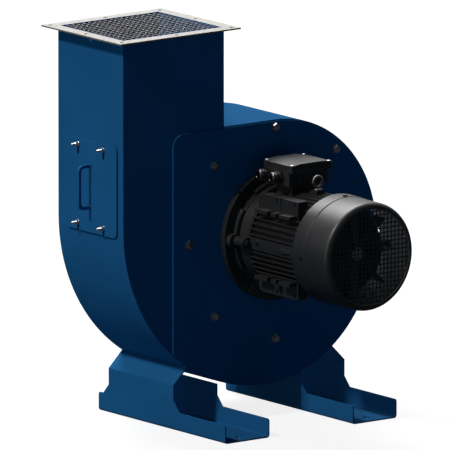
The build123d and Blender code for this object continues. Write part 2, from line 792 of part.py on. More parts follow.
def front_ring_surface(radius):
    """Y of the front ring's inner face, which slopes from the eye to the rim."""
    eye = THROAT_RADIUS + CONE_SHEET + EYE_GAP
    slope = (BLADE_INLET_WIDTH - BLADE_OUTLET_WIDTH) / (IMPELLER_RADIUS - eye)
    return BACKPLATE_START + BACKPLATE + BLADE_INLET_WIDTH - slope * (radius - eye)


def impeller_backplate():
    face = Circle(IMPELLER_RADIUS) - Circle(HUB_RADIUS)
    for x, z in around(HUB_RIVET_COUNT, HUB_RIVET_CIRCLE):
        face -= Pos(x, z) * Circle(HUB_RIVET_RADIUS)
    return slab(face, BACKPLATE_START, BACKPLATE_START + BACKPLATE)


def impeller_blades():
    """Curved plates that lean back from the direction of turning."""
    start = polar(BLADE_INLET_RADIUS, 0)
    middle_radius = math.sqrt(BLADE_INLET_RADIUS * BLADE_OUTLET_RADIUS)
    curve = ThreePointArc(
        start, polar(middle_radius, BLADE_MIDDLE_ANGLE), polar(BLADE_OUTLET_RADIUS, BLADE_SWEEP_ANGLE)
    )
    face = sheet_profile(curve, BLADE_SHEET)
    back = BACKPLATE_START + BACKPLATE
    plate = slab(face, back, back + BLADE_INLET_WIDTH)
    eye = THROAT_RADIUS + CONE_SHEET + EYE_GAP
    channel = turned(
        (eye, back),
        (IMPELLER_RADIUS, back),
        (IMPELLER_RADIUS, front_ring_surface(IMPELLER_RADIUS) - WELD_GAP),
        (eye, front_ring_surface(eye) - WELD_GAP),
    )
    blade = plate & channel
    return group([Rot(0, 360 * step / BLADE_COUNT, 0) * blade for step in range(BLADE_COUNT)])


def impeller_front_ring():
    eye = THROAT_RADIUS + CONE_SHEET + EYE_GAP
    y_eye = front_ring_surface(eye)
    y_rim = front_ring_surface(IMPELLER_RADIUS)
    return turned(
        (eye, y_eye),
        (IMPELLER_RADIUS, y_rim),
        (IMPELLER_RADIUS, y_rim + FRONT_RING),
        (eye + FRONT_RING, y_eye + FRONT_RING),
        (eye + FRONT_RING, y_eye + EYE_LIP),
        (eye, y_eye + EYE_LIP),
    )


def hub_end():
    return MOTOR_FACE + SHAFT_REACH


def impeller_hub():
    body = turned(
        (SHAFT_RADIUS, HUB_START),
        (HUB_RADIUS, HUB_START),
        (HUB_RADIUS, BACKPLATE_START - HUB_FLANGE),
        (HUB_FLANGE_RADIUS, BACKPLATE_START - HUB_FLANGE),
        (HUB_FLANGE_RADIUS, BACKPLATE_START),
        (HUB_RADIUS, BACKPLATE_START),
        (HUB_RADIUS, hub_end()),
        (SHAFT_RADIUS, hub_end()),
    )
    for x, z in around(HUB_RIVET_COUNT, HUB_RIVET_CIRCLE):
        body -= rod(HUB_RIVET_RADIUS, HUB_START, BACKPLATE_START, x, z)
    return body - key_block()


def impeller_rivets():
    low = BACKPLATE_START - HUB_FLANGE
    high = BACKPLATE_START + BACKPLATE
    rivets = []
    for x, z in around(HUB_RIVET_COUNT, HUB_RIVET_CIRCLE):
        rivet = rod(HUB_RIVET_RADIUS, low, high, x, z)
        rivet += rod(HUB_RIVET_HEAD_RADIUS, high, high + HUB_RIVET_HEAD, x, z)
        rivets.append(rivet + rod(HUB_RIVET_HEAD_RADIUS, low - HUB_RIVET_HEAD, low, x, z))
    return group(rivets)


def key_block():
    half = KEY_WIDTH / 2
    seat = SHAFT_RADIUS - KEY_DEPTH
    start = hub_end() - KEY_END_GAP - KEY_LENGTH
    return block(-half, half, start, start + KEY_LENGTH, seat, seat + KEY_HEIGHT)


def shaft_key():
    return key_block()


def retaining_screw():
    """Screw in the end of the shaft, with the thick washer that holds the hub."""
    washer_end = hub_end() + SHAFT_WASHER
    washer = ring(HUB_RADIUS - SHAFT_WASHER_INSET, SHAFT_SCREW_RADIUS, hub_end(), washer_end)
    head = slab(hexagon(SHAFT_SCREW_FLATS), washer_end, washer_end + SHAFT_SCREW_HEAD)
    return washer + head + rod(SHAFT_SCREW_RADIUS, hub_end() - SHAFT_SCREW_GRIP, washer_end)


def motor_shaft():
    drive_seat = -DRIVE_BEARING_START
    fan_seat = -FAN_BEARING_START
    body = turned(
        (0, hub_end()),
        (SHAFT_RADIUS - SHAFT_CHAMFER, hub_end()),
        (SHAFT_RADIUS, hub_end() - SHAFT_CHAMFER),
        (SHAFT_RADIUS, drive_seat + BEARING_SHOULDER),
        (BEARING_BORE, drive_seat + BEARING_SHOULDER),
        (BEARING_BORE, drive_seat - BEARING_WIDTH),
        (SHAFT_MIDDLE_RADIUS, drive_seat - BEARING_WIDTH),
        (SHAFT_MIDDLE_RADIUS, fan_seat),
        (BEARING_BORE, fan_seat),
        (BEARING_BORE, fan_seat - BEARING_WIDTH),
        (SHAFT_FAN_RADIUS, fan_seat - BEARING_WIDTH),
        (SHAFT_FAN_RADIUS, -SHAFT_TAIL),
        (0, -SHAFT_TAIL),
    )
    return body - key_block() - rod(SHAFT_SCREW_RADIUS, hub_end() - SHAFT_SCREW_GRIP, hub_end())


def rotor_core():
    """Stacked core with its two cast end rings."""
    start = -CORE_START - CORE_LENGTH
    body = ring(STATOR_BORE - AIR_GAP, SHAFT_MIDDLE_RADIUS, start, -CORE_START)
    outside = STATOR_BORE - END_RING_INSET
    for low in (start - END_RING, -CORE_START):
        body += ring(outside, END_RING_INSIDE, low, low + END_RING)
    return body


def bearing_places():
    return (-DRIVE_BEARING_START - BEARING_WIDTH, -FAN_BEARING_START - BEARING_WIDTH)


def bearing_inner_rings():
    rings = [ring(BEARING_INNER_RING, BEARING_BORE, y, y + BEARING_WIDTH) for y in bearing_places()]
    return group(rings)


def bearing_outer_rings():
    """Outer rings with their two thin shields, which almost reach the inner rings."""
    inside = BEARING_INNER_RING + BEARING_SHIELD_GAP
    rings = []
    for y in bearing_places():
        body = ring(BEARING_RADIUS, inside, y, y + BEARING_WIDTH)
        race = ring(BEARING_RACE, inside, y + BEARING_SHIELD, y + BEARING_WIDTH - BEARING_SHIELD)
        rings.append(body - race)
    return group(rings)


def preload_washer():
    start = -FAN_BEARING_START - BEARING_WIDTH
    return ring(BEARING_RADIUS - 0.5, PRELOAD_INSIDE, start - PRELOAD_WASHER, start)


def shaft_seal():
    front = MOTOR_FACE - SEAL_START
    return ring(SEAL_RADIUS, SHAFT_RADIUS + RUNNING_CLEARANCE, front - SEAL_WIDTH, front)


def lug_places(circle=LUG_CIRCLE):
    """Sides and bottom: the fourth side is under the terminal box."""
    return [polar(circle, angle) for angle in LUG_ANGLES]


def flange_pocket(angle):
    """Sector that is cast thinner round a stud, with a notch that drains it through the rim."""
    half = math.radians(POCKET_ANGLE / 2)
    reach = 2 * POCKET_OUTSIDE
    wedge = Polyline(
        (0, 0), (reach, -reach * math.tan(half)), (reach, reach * math.tan(half)), close=True
    )
    sector = (Circle(POCKET_OUTSIDE) - Circle(POCKET_INSIDE)) & make_face(wedge)
    notch = Pos((POCKET_INSIDE + reach) / 2, 0) * Rectangle(reach - POCKET_INSIDE, NOTCH_WIDTH)
    return Rot(0, 0, angle) * (sector + notch)


def drive_end_shield():
    flange_back = MOTOR_FACE - MOTOR_FLANGE
    ring_back = flange_back - RING_RISE
    bearing_stop = -DRIVE_BEARING_START
    bearing_end = bearing_stop - BEARING_WIDTH - 1.0
    seal_end = MOTOR_FACE - SEAL_START - SEAL_WIDTH - 1.0
    bore = SHAFT_RADIUS + BORE_CLEARANCE
    body = turned(
        (bore, MOTOR_FACE),
        (RELIEF_INSIDE, MOTOR_FACE),
        (RELIEF_OUTSIDE, MOTOR_FACE + SPIGOT_HEIGHT),
        (SPIGOT_RADIUS, MOTOR_FACE + SPIGOT_HEIGHT),
        (SPIGOT_RADIUS, MOTOR_FACE),
        (MOTOR_FLANGE_RADIUS, MOTOR_FACE),
        (MOTOR_FLANGE_RADIUS, flange_back + FLANGE_CHAMFER),
        (MOTOR_FLANGE_RADIUS - FLANGE_CHAMFER, flange_back),
        (RING_RADIUS, flange_back),
        (RING_RADIUS, ring_back),
        (BODY_RADIUS + BODY_FLARE, ring_back),
        (BODY_RADIUS, -SHIELD_END),
        (CORE_RADIUS + 1.0, -SHIELD_END),
        (CORE_RADIUS + 1.0, -SHIELD_END + SHIELD_LIP),
        (SHIELD_FLOOR_RADIUS, -SHIELD_END + SHIELD_RECESS),
        (BEARING_RADIUS + SHIELD_WALL, -SHIELD_END + SHIELD_RECESS),
        (BEARING_RADIUS + SHIELD_WALL, bearing_end),
        (BEARING_RADIUS, bearing_end),
        (BEARING_RADIUS, bearing_stop),
        (SEAL_RADIUS + SEAL_RELIEF, bearing_stop),
        (SEAL_RADIUS + SEAL_RELIEF, seal_end),
        (SEAL_RADIUS, seal_end),
        (SEAL_RADIUS, MOTOR_FACE - SEAL_START),
        (bore, MOTOR_FACE - SEAL_START),
    )
    for angle in (45, 135, 225, 315):
        body -= slab(flange_pocket(angle), ring_back - 1, MOTOR_FACE - POCKET_FLOOR)
    for x, z in around(4, MOTOR_STUD_CIRCLE, 45):
        body -= rod(MOTOR_STUD_RADIUS, flange_back - 1, MOTOR_FACE + 1, x, z)
    for x, z in lug_places(BOSS_CIRCLE):
        body += rod(BOSS_RADIUS, -BOSS_END, flange_back, x, z)
    for x, z in lug_places():
        body += rod(LUG_RADIUS, -SHIELD_END, flange_back, x, z)
        body -= rod(TIE_HOLE, -SHIELD_END - 1, -SHIELD_END + TIE_HOLE_DEPTH, x, z)
    return body


def end_shield_screws():
    screws = []
    for x, z in lug_places():
        sizes = (TIE_RADIUS, TIE_FLATS, TIE_HEAD, TIE_WASHER)
        screws.append(hex_bolt(x, z, *sizes, -SHIELD_END - FRAME_LUG, -SHIELD_END + TIE_GRIP))
    return group(screws)


def motor_flange_bolts():
    """Stud bolts screwed into the flange: their ends show in its pockets."""
    start = MOTOR_FACE - POCKET_FLOOR
    places = around(4, MOTOR_STUD_CIRCLE, 45)
    return group([rod(MOTOR_STUD_RADIUS, start, MOTOR_STUD_TIP, x, z) for x, z in places])


def motor_flange_nuts():
    face = hexagon(MOTOR_NUT_FLATS) - Circle(MOTOR_STUD_RADIUS)
    places = around(4, MOTOR_STUD_CIRCLE, 45)
    return group([slab(Pos(x, z) * face, 0, MOTOR_NUT) for x, z in places])


def cooling_fin(offset_from_axis):
    """Thin fin on the right side of the barrel, parallel to the horizontal centre plane."""
    tip = math.sqrt(FIN_TIP_RADIUS**2 - offset_from_axis**2)
    root = math.sqrt(BARREL_RADIUS**2 - offset_from_axis**2) - FIN_ROOT
    return Pos((tip + root) / 2, offset_from_axis) * Rectangle(tip - root, FIN_THICKNESS)


def frame_section():
    """Cross-section of the barrel: fins in four quadrants and a smooth band at each side."""
    face = Circle(BARREL_RADIUS)
    for quarter in range(4):
        turn = Rot(0, 0, 90 * quarter)
        for step in range(FINS_PER_SIDE):
            offset_up = FIN_FIRST + step * FIN_PITCH
            face += turn * cooling_fin(offset_up)
            face += turn * cooling_fin(-offset_up)
        if quarter % 2:
            for middle in (-FIN_PITCH / 2, FIN_PITCH / 2):
                face += turn * cooling_fin(middle)
        else:
            strip = Pos(BAND_RADIUS, 0) * Rectangle(BAND_RADIUS, 2 * FIN_FIRST - FIN_PITCH)
            face += turn * (Circle(BAND_RADIUS) & strip)
    return face


def stator_frame():
    body = slab(frame_section(), -FRAME_END, -SHIELD_END)
    for start in (-SHIELD_END - FRAME_RIM, -FRAME_END):
        body += ring(FRAME_RIM_RADIUS, CORE_RADIUS, start, start + FRAME_RIM)
    for angle in (45, 135, 225, 315):
        for pad in frame_pads():
            body += Rot(0, angle, 0) * pad
    for turn in (0, 180):
        body += Rot(0, turn, 0) * band_boss()
    for x, z in lug_places():
        web = Pos(x * LUG_WEB, z * LUG_WEB) * Rectangle(2 * LUG_RADIUS, 2 * LUG_RADIUS)
        lug = (web & Circle(LUG_CIRCLE)) + Pos(x, z) * Circle(LUG_RADIUS)
        body += slab(lug, -SHIELD_END - FRAME_LUG, -SHIELD_END)
    half = BOX_WIDTH / 2 - NECK_INSET
    body += block(-half, half, -NECK_END, -NECK_START, BARREL_RADIUS - NECK_ROOT, BOX_BOTTOM)
    seat = EYE_SEAT_WIDTH / 2
    root = BARREL_RADIUS - EYE_SEAT_ROOT
    body += block(-seat, seat, -EYE_PLACE - seat, -EYE_PLACE + seat, root, eye_seat())
    for x, z in lug_places():
        body -= rod(TIE_CLEARANCE, -SHIELD_END - FRAME_LUG, -SHIELD_END, x, z)
    body -= rod(CORE_RADIUS, -FRAME_END, -SHIELD_END)
    return body - cable_way(CORE_RADIUS - 6, BOX_BOTTOM)


def frame_pads():
    """The two pads of one corner, where feet can be screwed on: thick, flat and slotted."""
    pads = []
    for start, end in PADS:
        pad = Pos(-(start + end) / 2, 0) * Rectangle(end - start, PAD_WIDTH)
        if (start, end) == PADS[0]:
            pad = fillet([v for v in pad.vertices() if v.X > -end + 1], PAD_CORNER)
        solid = side_slab(pad, CORE_RADIUS, PAD_REACH)
        slot = Pos(-end + PAD_SLOT_PLACE, 0) * SlotOverall(PAD_SLOT_LENGTH, PAD_SLOT_WIDTH, rotation=90)
        pads.append(solid - side_slab(slot, PAD_REACH - PAD_SLOT_DEPTH, PAD_REACH + 1))
    return pads


def band_boss():
    """Flat boss with two pointed ends on the smooth band of the barrel."""
    half = BAND_BOSS_LENGTH / 2
    radius = (half**2 + BAND_BOSS_RISE**2) / (2 * BAND_BOSS_RISE)
    drop = radius - BAND_BOSS_RISE
    lens = (Pos(0, drop) * Circle(radius)) & (Pos(0, -drop) * Circle(radius))
    return side_slab(Pos(-BAND_BOSS_START - half, 0) * lens, BARREL_RADIUS, BAND_BOSS_REACH)


def cable_way(z_start, z_end):
    """Square way for the leads, from the barrel to the terminal box."""
    half = CABLE_WAY / 2
    return block(-half, half, -BOX_PLACE - half, -BOX_PLACE + half, z_start, z_end)


def stator_core():
    return ring(CORE_RADIUS, STATOR_BORE, -CORE_START - CORE_LENGTH, -CORE_START)


def stator_windings():
    """The two coil ends that stand out of the core, bound to rounded rings."""
    ends = []
    for start in (-CORE_START, -CORE_START - CORE_LENGTH - WINDING_LENGTH):
        end = ring(WINDING_OUTER, WINDING_INNER, start, start + WINDING_LENGTH)
        far = start + WINDING_LENGTH if start == -CORE_START else start
        rims = [e for e in end.edges().filter_by(GeomType.CIRCLE) if abs(e.center().Y - far) < 0.01]
        ends.append(fillet(rims, WINDING_ROUND))
    return group(ends)


def fan_end_shield():
    """Dished cover with the rear bearing's seat and four arms that carry the cowl."""
    bearing_end = -FAN_BEARING_START - BEARING_WIDTH
    bearing_open = -FAN_BEARING_START + 1.0
    back = bearing_end - REAR_WALL
    body = turned(
        (BODY_RADIUS - 1.0, -FRAME_END),
        (BODY_RADIUS - 1.0, -FRAME_END - REAR_RIM),
        (BEARING_RADIUS + SHIELD_WALL, back),
        (REAR_BORE, back),
        (REAR_BORE, bearing_end - PRELOAD_WASHER),
        (BEARING_RADIUS, bearing_end - PRELOAD_WASHER),
        (BEARING_RADIUS, bearing_open),
        (BEARING_RADIUS + REAR_SEAT_WALL, bearing_open),
        (BEARING_RADIUS + REAR_SEAT_FOOT, -FRAME_END - REAR_DISH),
        (CORE_RADIUS, -FRAME_END - REAR_LIP),
        (CORE_RADIUS, -FRAME_END),
    )
    inside = COWL_RADIUS - COWL_SHEET
    arm = Pos(inside - ARM_DEPTH / 2, 0) * Rectangle(ARM_DEPTH, ARM_WIDTH) & Circle(inside)
    arm -= Circle(COOLING_FAN_RADIUS + COOLING_FAN_GAP)
    arm_start = -COWL_STEP_PLACE + 1.0
    arm_end = -FRAME_END - REAR_LIP + 1.0
    for quarter in range(4):
        body += slab(Rot(0, 0, 90 * quarter) * arm, arm_start, arm_end)
    for screw in cowl_screw_rods(COWL_SCREW_RADIUS, COWL_SCREW_LENGTH, 0.0):
        body -= screw
    return body


def cowl_screw_rods(radius, depth, height):
    """Rods through the cowl towards the shaft, one at each quarter."""
    start = COWL_RADIUS - depth
    pin = side_slab(Circle(radius), start, COWL_RADIUS + height)
    return [Rot(0, 90 * quarter, 0) * pin.moved(Pos(0, -COWL_SCREW_PLACE, 0)) for quarter in range(4)]


def cowl_outline(inset):
    """Half section of the cowl, from its front edge over the step and the rounded lip."""
    radius = COWL_RADIUS - inset
    rear = COWL_RADIUS - COWL_STEP - inset
    lip = COWL_LIP - inset
    end = -COWL_END + inset
    return (
        Line((radius, -FRAME_END), (radius, -COWL_STEP_PLACE))
        + Line((radius, -COWL_STEP_PLACE), (rear, -COWL_STEP_PLACE - COWL_STEP))
        + Line((rear, -COWL_STEP_PLACE - COWL_STEP), (rear, end + lip))
        + ThreePointArc(
            (rear, end + lip),
            (rear - lip * (1 - math.sqrt(0.5)), end + lip * (1 - math.sqrt(0.5))),
            (rear - lip, end),
        )
        + Line((rear - lip, end), (GRILLE_OPENING, end))
    )


def fan_cowl():
    outside = cowl_outline(0.0)
    inside = cowl_outline(COWL_SHEET)
    closing = Line((COWL_RADIUS, -FRAME_END), (COWL_RADIUS - COWL_SHEET, -FRAME_END))
    closing += Line((GRILLE_OPENING, -COWL_END), (GRILLE_OPENING, -COWL_END + COWL_SHEET))
    body = revolve(make_face(outside + inside + closing), axis=Axis.Y)
    for screw in cowl_screw_rods(COWL_SCREW_RADIUS, COWL_SCREW_LENGTH, 1.0):
        body -= screw
    return body


def cowl_screws():
    shanks = cowl_screw_rods(COWL_SCREW_RADIUS, COWL_SCREW_LENGTH, 0.0)
    heads = cowl_screw_rods(COWL_SCREW_HEAD_RADIUS, 0.0, COWL_SCREW_HEAD)
    return group([shank + head for shank, head in zip(shanks, heads)])


def cowl_grille():
    """Two crossed layers of flat bars inside a rim, seated behind the lip of the cowl."""
    seat = -COWL_END + COWL_SHEET
    inner = GRILLE_RADIUS - GRILLE_RIM
    pieces = [ring(GRILLE_RADIUS, inner, seat, seat + 2 * GRILLE_BAR_DEPTH)]
    steps = int(inner / GRILLE_PITCH)
    for step in range(-steps, steps + 1):
        place = step * GRILLE_PITCH
        half = math.sqrt(inner**2 - (abs(place) + GRILLE_BAR / 2) ** 2)
        bar = Rectangle(2 * half, GRILLE_BAR)
        middle = seat + GRILLE_BAR_DEPTH
        pieces.append(slab(Pos(0, place) * bar, seat, middle))
        pieces.append(slab(Pos(place, 0) * Rot(0, 0, 90) * bar, middle, middle + GRILLE_BAR_DEPTH))
    return group(pieces)


def cooling_fan():
    """Moulded fan: hub, dished disc and straight radial blades that work in both directions."""
    start = -COOLING_FAN_START
    end = start - COOLING_FAN_DEPTH
    hub_back = end + COOLING_HUB_INSET
    body = turned(
        (SHAFT_FAN_RADIUS, start),
        (COOLING_HUB_RADIUS, start),
        (COOLING_HUB_RADIUS, start - COOLING_DISH),
        (COOLING_DISC_RADIUS, start - COOLING_DISC_START),
        (COOLING_DISC_RADIUS, start - COOLING_DISC_START - COOLING_DISC),
        (COOLING_HUB_RADIUS, start - COOLING_DISH - COOLING_DISC),
        (COOLING_HUB_RADIUS, hub_back),
        (SHAFT_FAN_RADIUS, hub_back),
    )
    root = COOLING_HUB_RADIUS - 2.0
    blade = Pos((COOLING_FAN_RADIUS + root) / 2, 0) * Rectangle(COOLING_FAN_RADIUS - root, COOLING_BLADE)
    for step in range(COOLING_BLADE_COUNT):
        turn = Rot(0, 0, 360 * step / COOLING_BLADE_COUNT)
        body += slab(turn * blade, end, start - COOLING_BLADE_INSET)
    return body - rod(SHAFT_FAN_RADIUS, end - 1, start + 1)


def fan_clip():
    """Retaining ring in the groove at the end of the shaft."""
    seat = -COOLING_FAN_START - COOLING_FAN_DEPTH + COOLING_HUB_INSET
    return ring(SHAFT_FAN_RADIUS + CLIP_WIDTH, SHAFT_FAN_RADIUS, seat - CLIP_SHEET, seat)


def box_room(z_start, z_end, inset=BOX_WALL):
    """Space inside the four walls of the terminal box."""
    half = BOX_WIDTH / 2 - inset
    half_length = BOX_LENGTH / 2 - BOX_WALL
    return block(-half, half, -BOX_PLACE - half_length, -BOX_PLACE + half_length, z_start, z_end)


def lid_slab(width, length, z_start, z_end):
    face = Pos(0, -LID_MIDDLE) * RectangleRounded(width, length, LID_CORNER)
    return Pos(0, 0, z_start) * extrude(face, amount=z_end - z_start)


def terminal_box():
    """Box with a deeper rim that reaches past it on the fan side, and a post under each lid screw."""
    half = BOX_WIDTH / 2
    half_length = BOX_LENGTH / 2
    body = block(-half, half, -BOX_PLACE - half_length, -BOX_PLACE + half_length, BOX_BOTTOM, BOX_TOP)
    body = fillet(body.edges().filter_by(Axis.Z), BOX_CORNER)
    body += lid_slab(BOX_WIDTH, LID_LENGTH, BOX_RIM_BOTTOM, BOX_TOP)
    body -= box_room(BOX_BOTTOM + BOX_WALL, BOX_TOP)
    rim = BOX_TOP - BOX_RIM_BOTTOM
    for x, y in lid_screw_places():
        body += Pos(x, y, BOX_TOP - rim / 2) * Cylinder(LID_POST_RADIUS, rim)
        body -= Pos(x, y, BOX_TOP) * Cylinder(LID_SCREW_RADIUS, 2 * (rim - 1))
    body -= cable_way(BOX_BOTTOM, BOX_BOTTOM + BOX_WALL)
    for y in GLAND_PLACES:
        body -= side_slab(Pos(-y, GLAND_HEIGHT) * Circle(GLAND_HOLE), -half - 1, -half + BOX_WALL + 1)
    wall = -BOX_PLACE - half_length
    return body - rod(GLAND_HOLE, wall - 1, wall + BOX_WALL + 1, PLUG_X, GLAND_HEIGHT)


def lid_screw_places():
    for side in (-1, 1):
        for end in (-1, 1):
            x = side * (LID_WIDTH / 2 - LID_SCREW_INSET)
            yield x, -LID_MIDDLE + end * (LID_LENGTH / 2 - LID_SCREW_INSET)


def terminal_box_gasket():
    gasket = lid_slab(BOX_WIDTH - 1, LID_LENGTH - 1, BOX_TOP, BOX_TOP + BOX_GASKET)
    gasket -= box_room(BOX_TOP, BOX_TOP + BOX_GASKET)
    for x, y in lid_screw_places():
        gasket -= Pos(x, y, BOX_TOP) * Cylinder(LID_SCREW_RADIUS + LID_SCREW_CLEARANCE, 4 * BOX_GASKET)
    return gasket


def terminal_box_lid():
    """Lid with a flat middle and two sides that slope down to the edges."""
    low = BOX_TOP + BOX_GASKET
    half = LID_WIDTH / 2
    middle = LID_FLAT / 2
    section = Polyline(
        (-half, low),
        (half, low),
        (half, LID_EDGE),
        (middle, LID_TOP),
        (-middle, LID_TOP),
        (-half, LID_EDGE),
        close=True,
    )
    body = slab(make_face(section), -LID_START - LID_LENGTH, -LID_START)
    body = fillet(body.edges().filter_by(Axis.Z), LID_CORNER)
    for x, y in lid_screw_places():
        body -= Pos(x, y, low) * Cylinder(LID_SCREW_RADIUS + LID_HOLE_CLEARANCE, 4 * LID_SCREW_SEAT)
        head_room = Cylinder(LID_SCREW_HEAD + LID_SCREW_CLEARANCE, LID_TOP)
        body -= Pos(x, y, low + LID_SCREW_SEAT + LID_TOP / 2) * head_room
    return body - box_room(low, low + LID_HOLLOW, LID_HOLLOW_INSET)


def terminal_box_screws():
    seat = BOX_TOP + BOX_GASKET + LID_SCREW_SEAT
    low = BOX_TOP - LID_SCREW_GRIP
    screws = []
    for x, y in lid_screw_places():
        shank = Pos(x, y, (low + seat) / 2) * Cylinder(LID_SCREW_RADIUS, seat - low)
        head = Pos(x, y, seat + LID_SCREW_HEIGHT / 2) * Cylinder(LID_SCREW_HEAD, LID_SCREW_HEIGHT)
        screws.append(shank + head)
    return group(screws)


def terminal_board():
    """Board on two feet that bridge the way of the leads."""
    half = BOARD_LENGTH / 2
    floor = BOX_BOTTOM + BOX_WALL
    board = block(BOARD_LEFT, BOARD_RIGHT, -BOX_PLACE - half, -BOX_PLACE + half, floor, BOARD_TOP)
    return board - cable_way(floor, BOARD_TOP - BOARD_THICKNESS)


def terminal_studs():
    stud = Pos(0, 0, BOARD_STUD_HEIGHT / 2) * Cylinder(BOARD_STUD_RADIUS, BOARD_STUD_HEIGHT)
    stud += Pos(0, 0, BOARD_NUT / 2) * Cylinder(BOARD_NUT_RADIUS, BOARD_NUT)
    studs = []
    for column in (BOARD_LEFT + BOARD_STUD_INSET, BOARD_RIGHT - BOARD_STUD_INSET):
        for row in (-BOARD_STUD_PITCH, 0, BOARD_STUD_PITCH):
            studs.append(Pos(column, -BOX_PLACE + row, BOARD_TOP) * stud)
    return group(studs)


def cable_glands():
    wall = -BOX_WIDTH / 2
    neck = wall - GLAND_HEX - GLAND_NECK
    end = neck - GLAND_CAP
    glands = []
    for y in GLAND_PLACES:
        place = Pos(-y, GLAND_HEIGHT)
        body = side_slab(place * hexagon(2 * GLAND_RADIUS), wall - GLAND_HEX, wall)
        body += side_slab(place * Circle(GLAND_RADIUS - GLAND_NECK_INSET), neck, wall - GLAND_HEX)
        dome = side_slab(place * Circle(GLAND_RADIUS), end, neck)
        outer = dome.edges().filter_by(GeomType.CIRCLE).sort_by(Axis.X)[0]
        body += fillet(outer, GLAND_ROUND)
        body += side_slab(place * Circle(GLAND_HOLE), wall, wall + BOX_WALL)
        glands.append(body - side_slab(place * Circle(GLAND_BORE), end - 1, wall + BOX_WALL))
    return group(glands)


def blanking_plug():
    wall = -BOX_PLACE - BOX_LENGTH / 2
    head = rod(PLUG_RADIUS, wall - PLUG_HEAD, wall, PLUG_X, GLAND_HEIGHT)
    socket = Pos(PLUG_X, GLAND_HEIGHT) * hexagon(PLUG_SOCKET)
    head -= slab(socket, wall - PLUG_HEAD, wall - PLUG_FLOOR)
    return head + rod(GLAND_HOLE, wall, wall + BOX_WALL, PLUG_X, GLAND_HEIGHT)


def eye_seat():
    return FIN_TIP_RADIUS + EYE_SEAT_RISE


def lifting_eye():
    """Forged eye screwed into the top of the frame, its ring across the shaft."""
    seat = eye_seat()
    collar = Pos(0, -EYE_PLACE, seat + EYE_COLLAR_HEIGHT / 2) * Cylinder(EYE_COLLAR, EYE_COLLAR_HEIGHT)
    middle = seat + EYE_COLLAR_HEIGHT - 1.0 + EYE_RADIUS + EYE_ROD
    loop = Pos(0, -EYE_PLACE, middle) * Rot(90, 0, 0) * Torus(EYE_RADIUS, EYE_ROD)
    return collar + loop


NODES = {
    "scroll_wrapper": scroll_wrapper,
    "motor_side_plate": motor_side_plate,
    "inlet_side_plate": inlet_side_plate,
    "cutoff_tongue": cutoff_tongue,
    "outlet_flange": outlet_flange,
    "outlet_guard": outlet_guard,
    "guard_frame": guard_frame,
    "guard_rivets": guard_rivets,
    "motor_cover_plate": motor_cover_plate,
    "cover_bolts": cover_bolts,
    "cover_weld_nuts": cover_weld_nuts,
    "left_foot": lambda: foot(-1),
    "right_foot": lambda: foot(1),
    "hatch_plate": hatch_plate,
    "hatch_gasket": hatch_gasket,
    "hatch_handle": hatch_handle,
    "hatch_studs": hatch_studs,
    "hatch_washers": hatch_washers,
    "hatch_nuts": hatch_nuts,
    "inlet_cone": inlet_cone,
    "inlet_collar": inlet_collar,
    "inlet_screws": inlet_screws,
    "impeller_backplate": impeller_backplate,
    "impeller_blades": impeller_blades,
    "impeller_front_ring": impeller_front_ring,
    "impeller_hub": impeller_hub,
    "impeller_rivets": impeller_rivets,
    "impeller_screw": retaining_screw,
    "motor_shaft": motor_shaft,
    "shaft_key": shaft_key,
    "rotor_core": rotor_core,
    "bearing_inner_rings": bearing_inner_rings,
    "bearing_outer_rings": bearing_outer_rings,
    "preload_washer": preload_washer,
    "shaft_seal": shaft_seal,
    "drive_end_shield": drive_end_shield,
    "end_shield_screws": end_shield_screws,
    "motor_flange_bolts": motor_flange_bolts,
    "motor_flange_nuts": motor_flange_nuts,
    "stator_frame": stator_frame,
    "stator_core": stator_core,
    "stator_windings": stator_windings,
    "fan_end_shield": fan_end_shield,
    "fan_cowl": fan_cowl,
    "cowl_screws": cowl_screws,
    "cowl_grille": cowl_grille,
    "cooling_fan": cooling_fan,
    "fan_clip": fan_clip,
    "terminal_box": terminal_box,
    "terminal_box_gasket": terminal_box_gasket,
    "terminal_box_lid": terminal_box_lid,
    "terminal_box_screws": terminal_box_screws,
    "terminal_board": terminal_board,
    "terminal_studs": terminal_studs,
    "cable_glands": cable_glands,
    "blanking_plug": blanking_plug,
    "lifting_eye": lifting_eye,
}

os.makedirs("parts", exist_ok=True)
for node, make in NODES.items():
    export_step(TO_ANCHOR_FRAME * make(), f"parts/{node}.step")
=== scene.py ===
import json
import math

import bmesh
import bpy
from mathutils import Matrix, Vector


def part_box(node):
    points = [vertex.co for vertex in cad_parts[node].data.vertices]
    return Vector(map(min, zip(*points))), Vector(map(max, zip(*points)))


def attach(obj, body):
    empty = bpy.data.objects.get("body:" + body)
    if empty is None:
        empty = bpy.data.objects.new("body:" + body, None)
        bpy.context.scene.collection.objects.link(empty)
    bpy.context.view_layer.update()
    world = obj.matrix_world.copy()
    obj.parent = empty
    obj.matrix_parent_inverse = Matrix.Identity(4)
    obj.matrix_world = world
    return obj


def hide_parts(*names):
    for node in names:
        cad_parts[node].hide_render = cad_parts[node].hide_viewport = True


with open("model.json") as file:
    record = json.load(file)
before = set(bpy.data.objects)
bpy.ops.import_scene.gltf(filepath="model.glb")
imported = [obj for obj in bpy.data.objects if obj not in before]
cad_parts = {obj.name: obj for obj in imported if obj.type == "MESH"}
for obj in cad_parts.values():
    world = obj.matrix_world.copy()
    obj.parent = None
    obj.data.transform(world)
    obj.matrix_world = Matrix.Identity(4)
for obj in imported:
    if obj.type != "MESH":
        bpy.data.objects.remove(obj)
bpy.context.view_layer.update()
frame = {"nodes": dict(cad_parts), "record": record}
nodes = frame["nodes"]
record = frame["record"]
body_of = {node: body for body, names in record["behaviour"]["bodies"].items() for node in names}
slot_of = {row["node"]: row["material_slot"] for row in record["subparts"]}

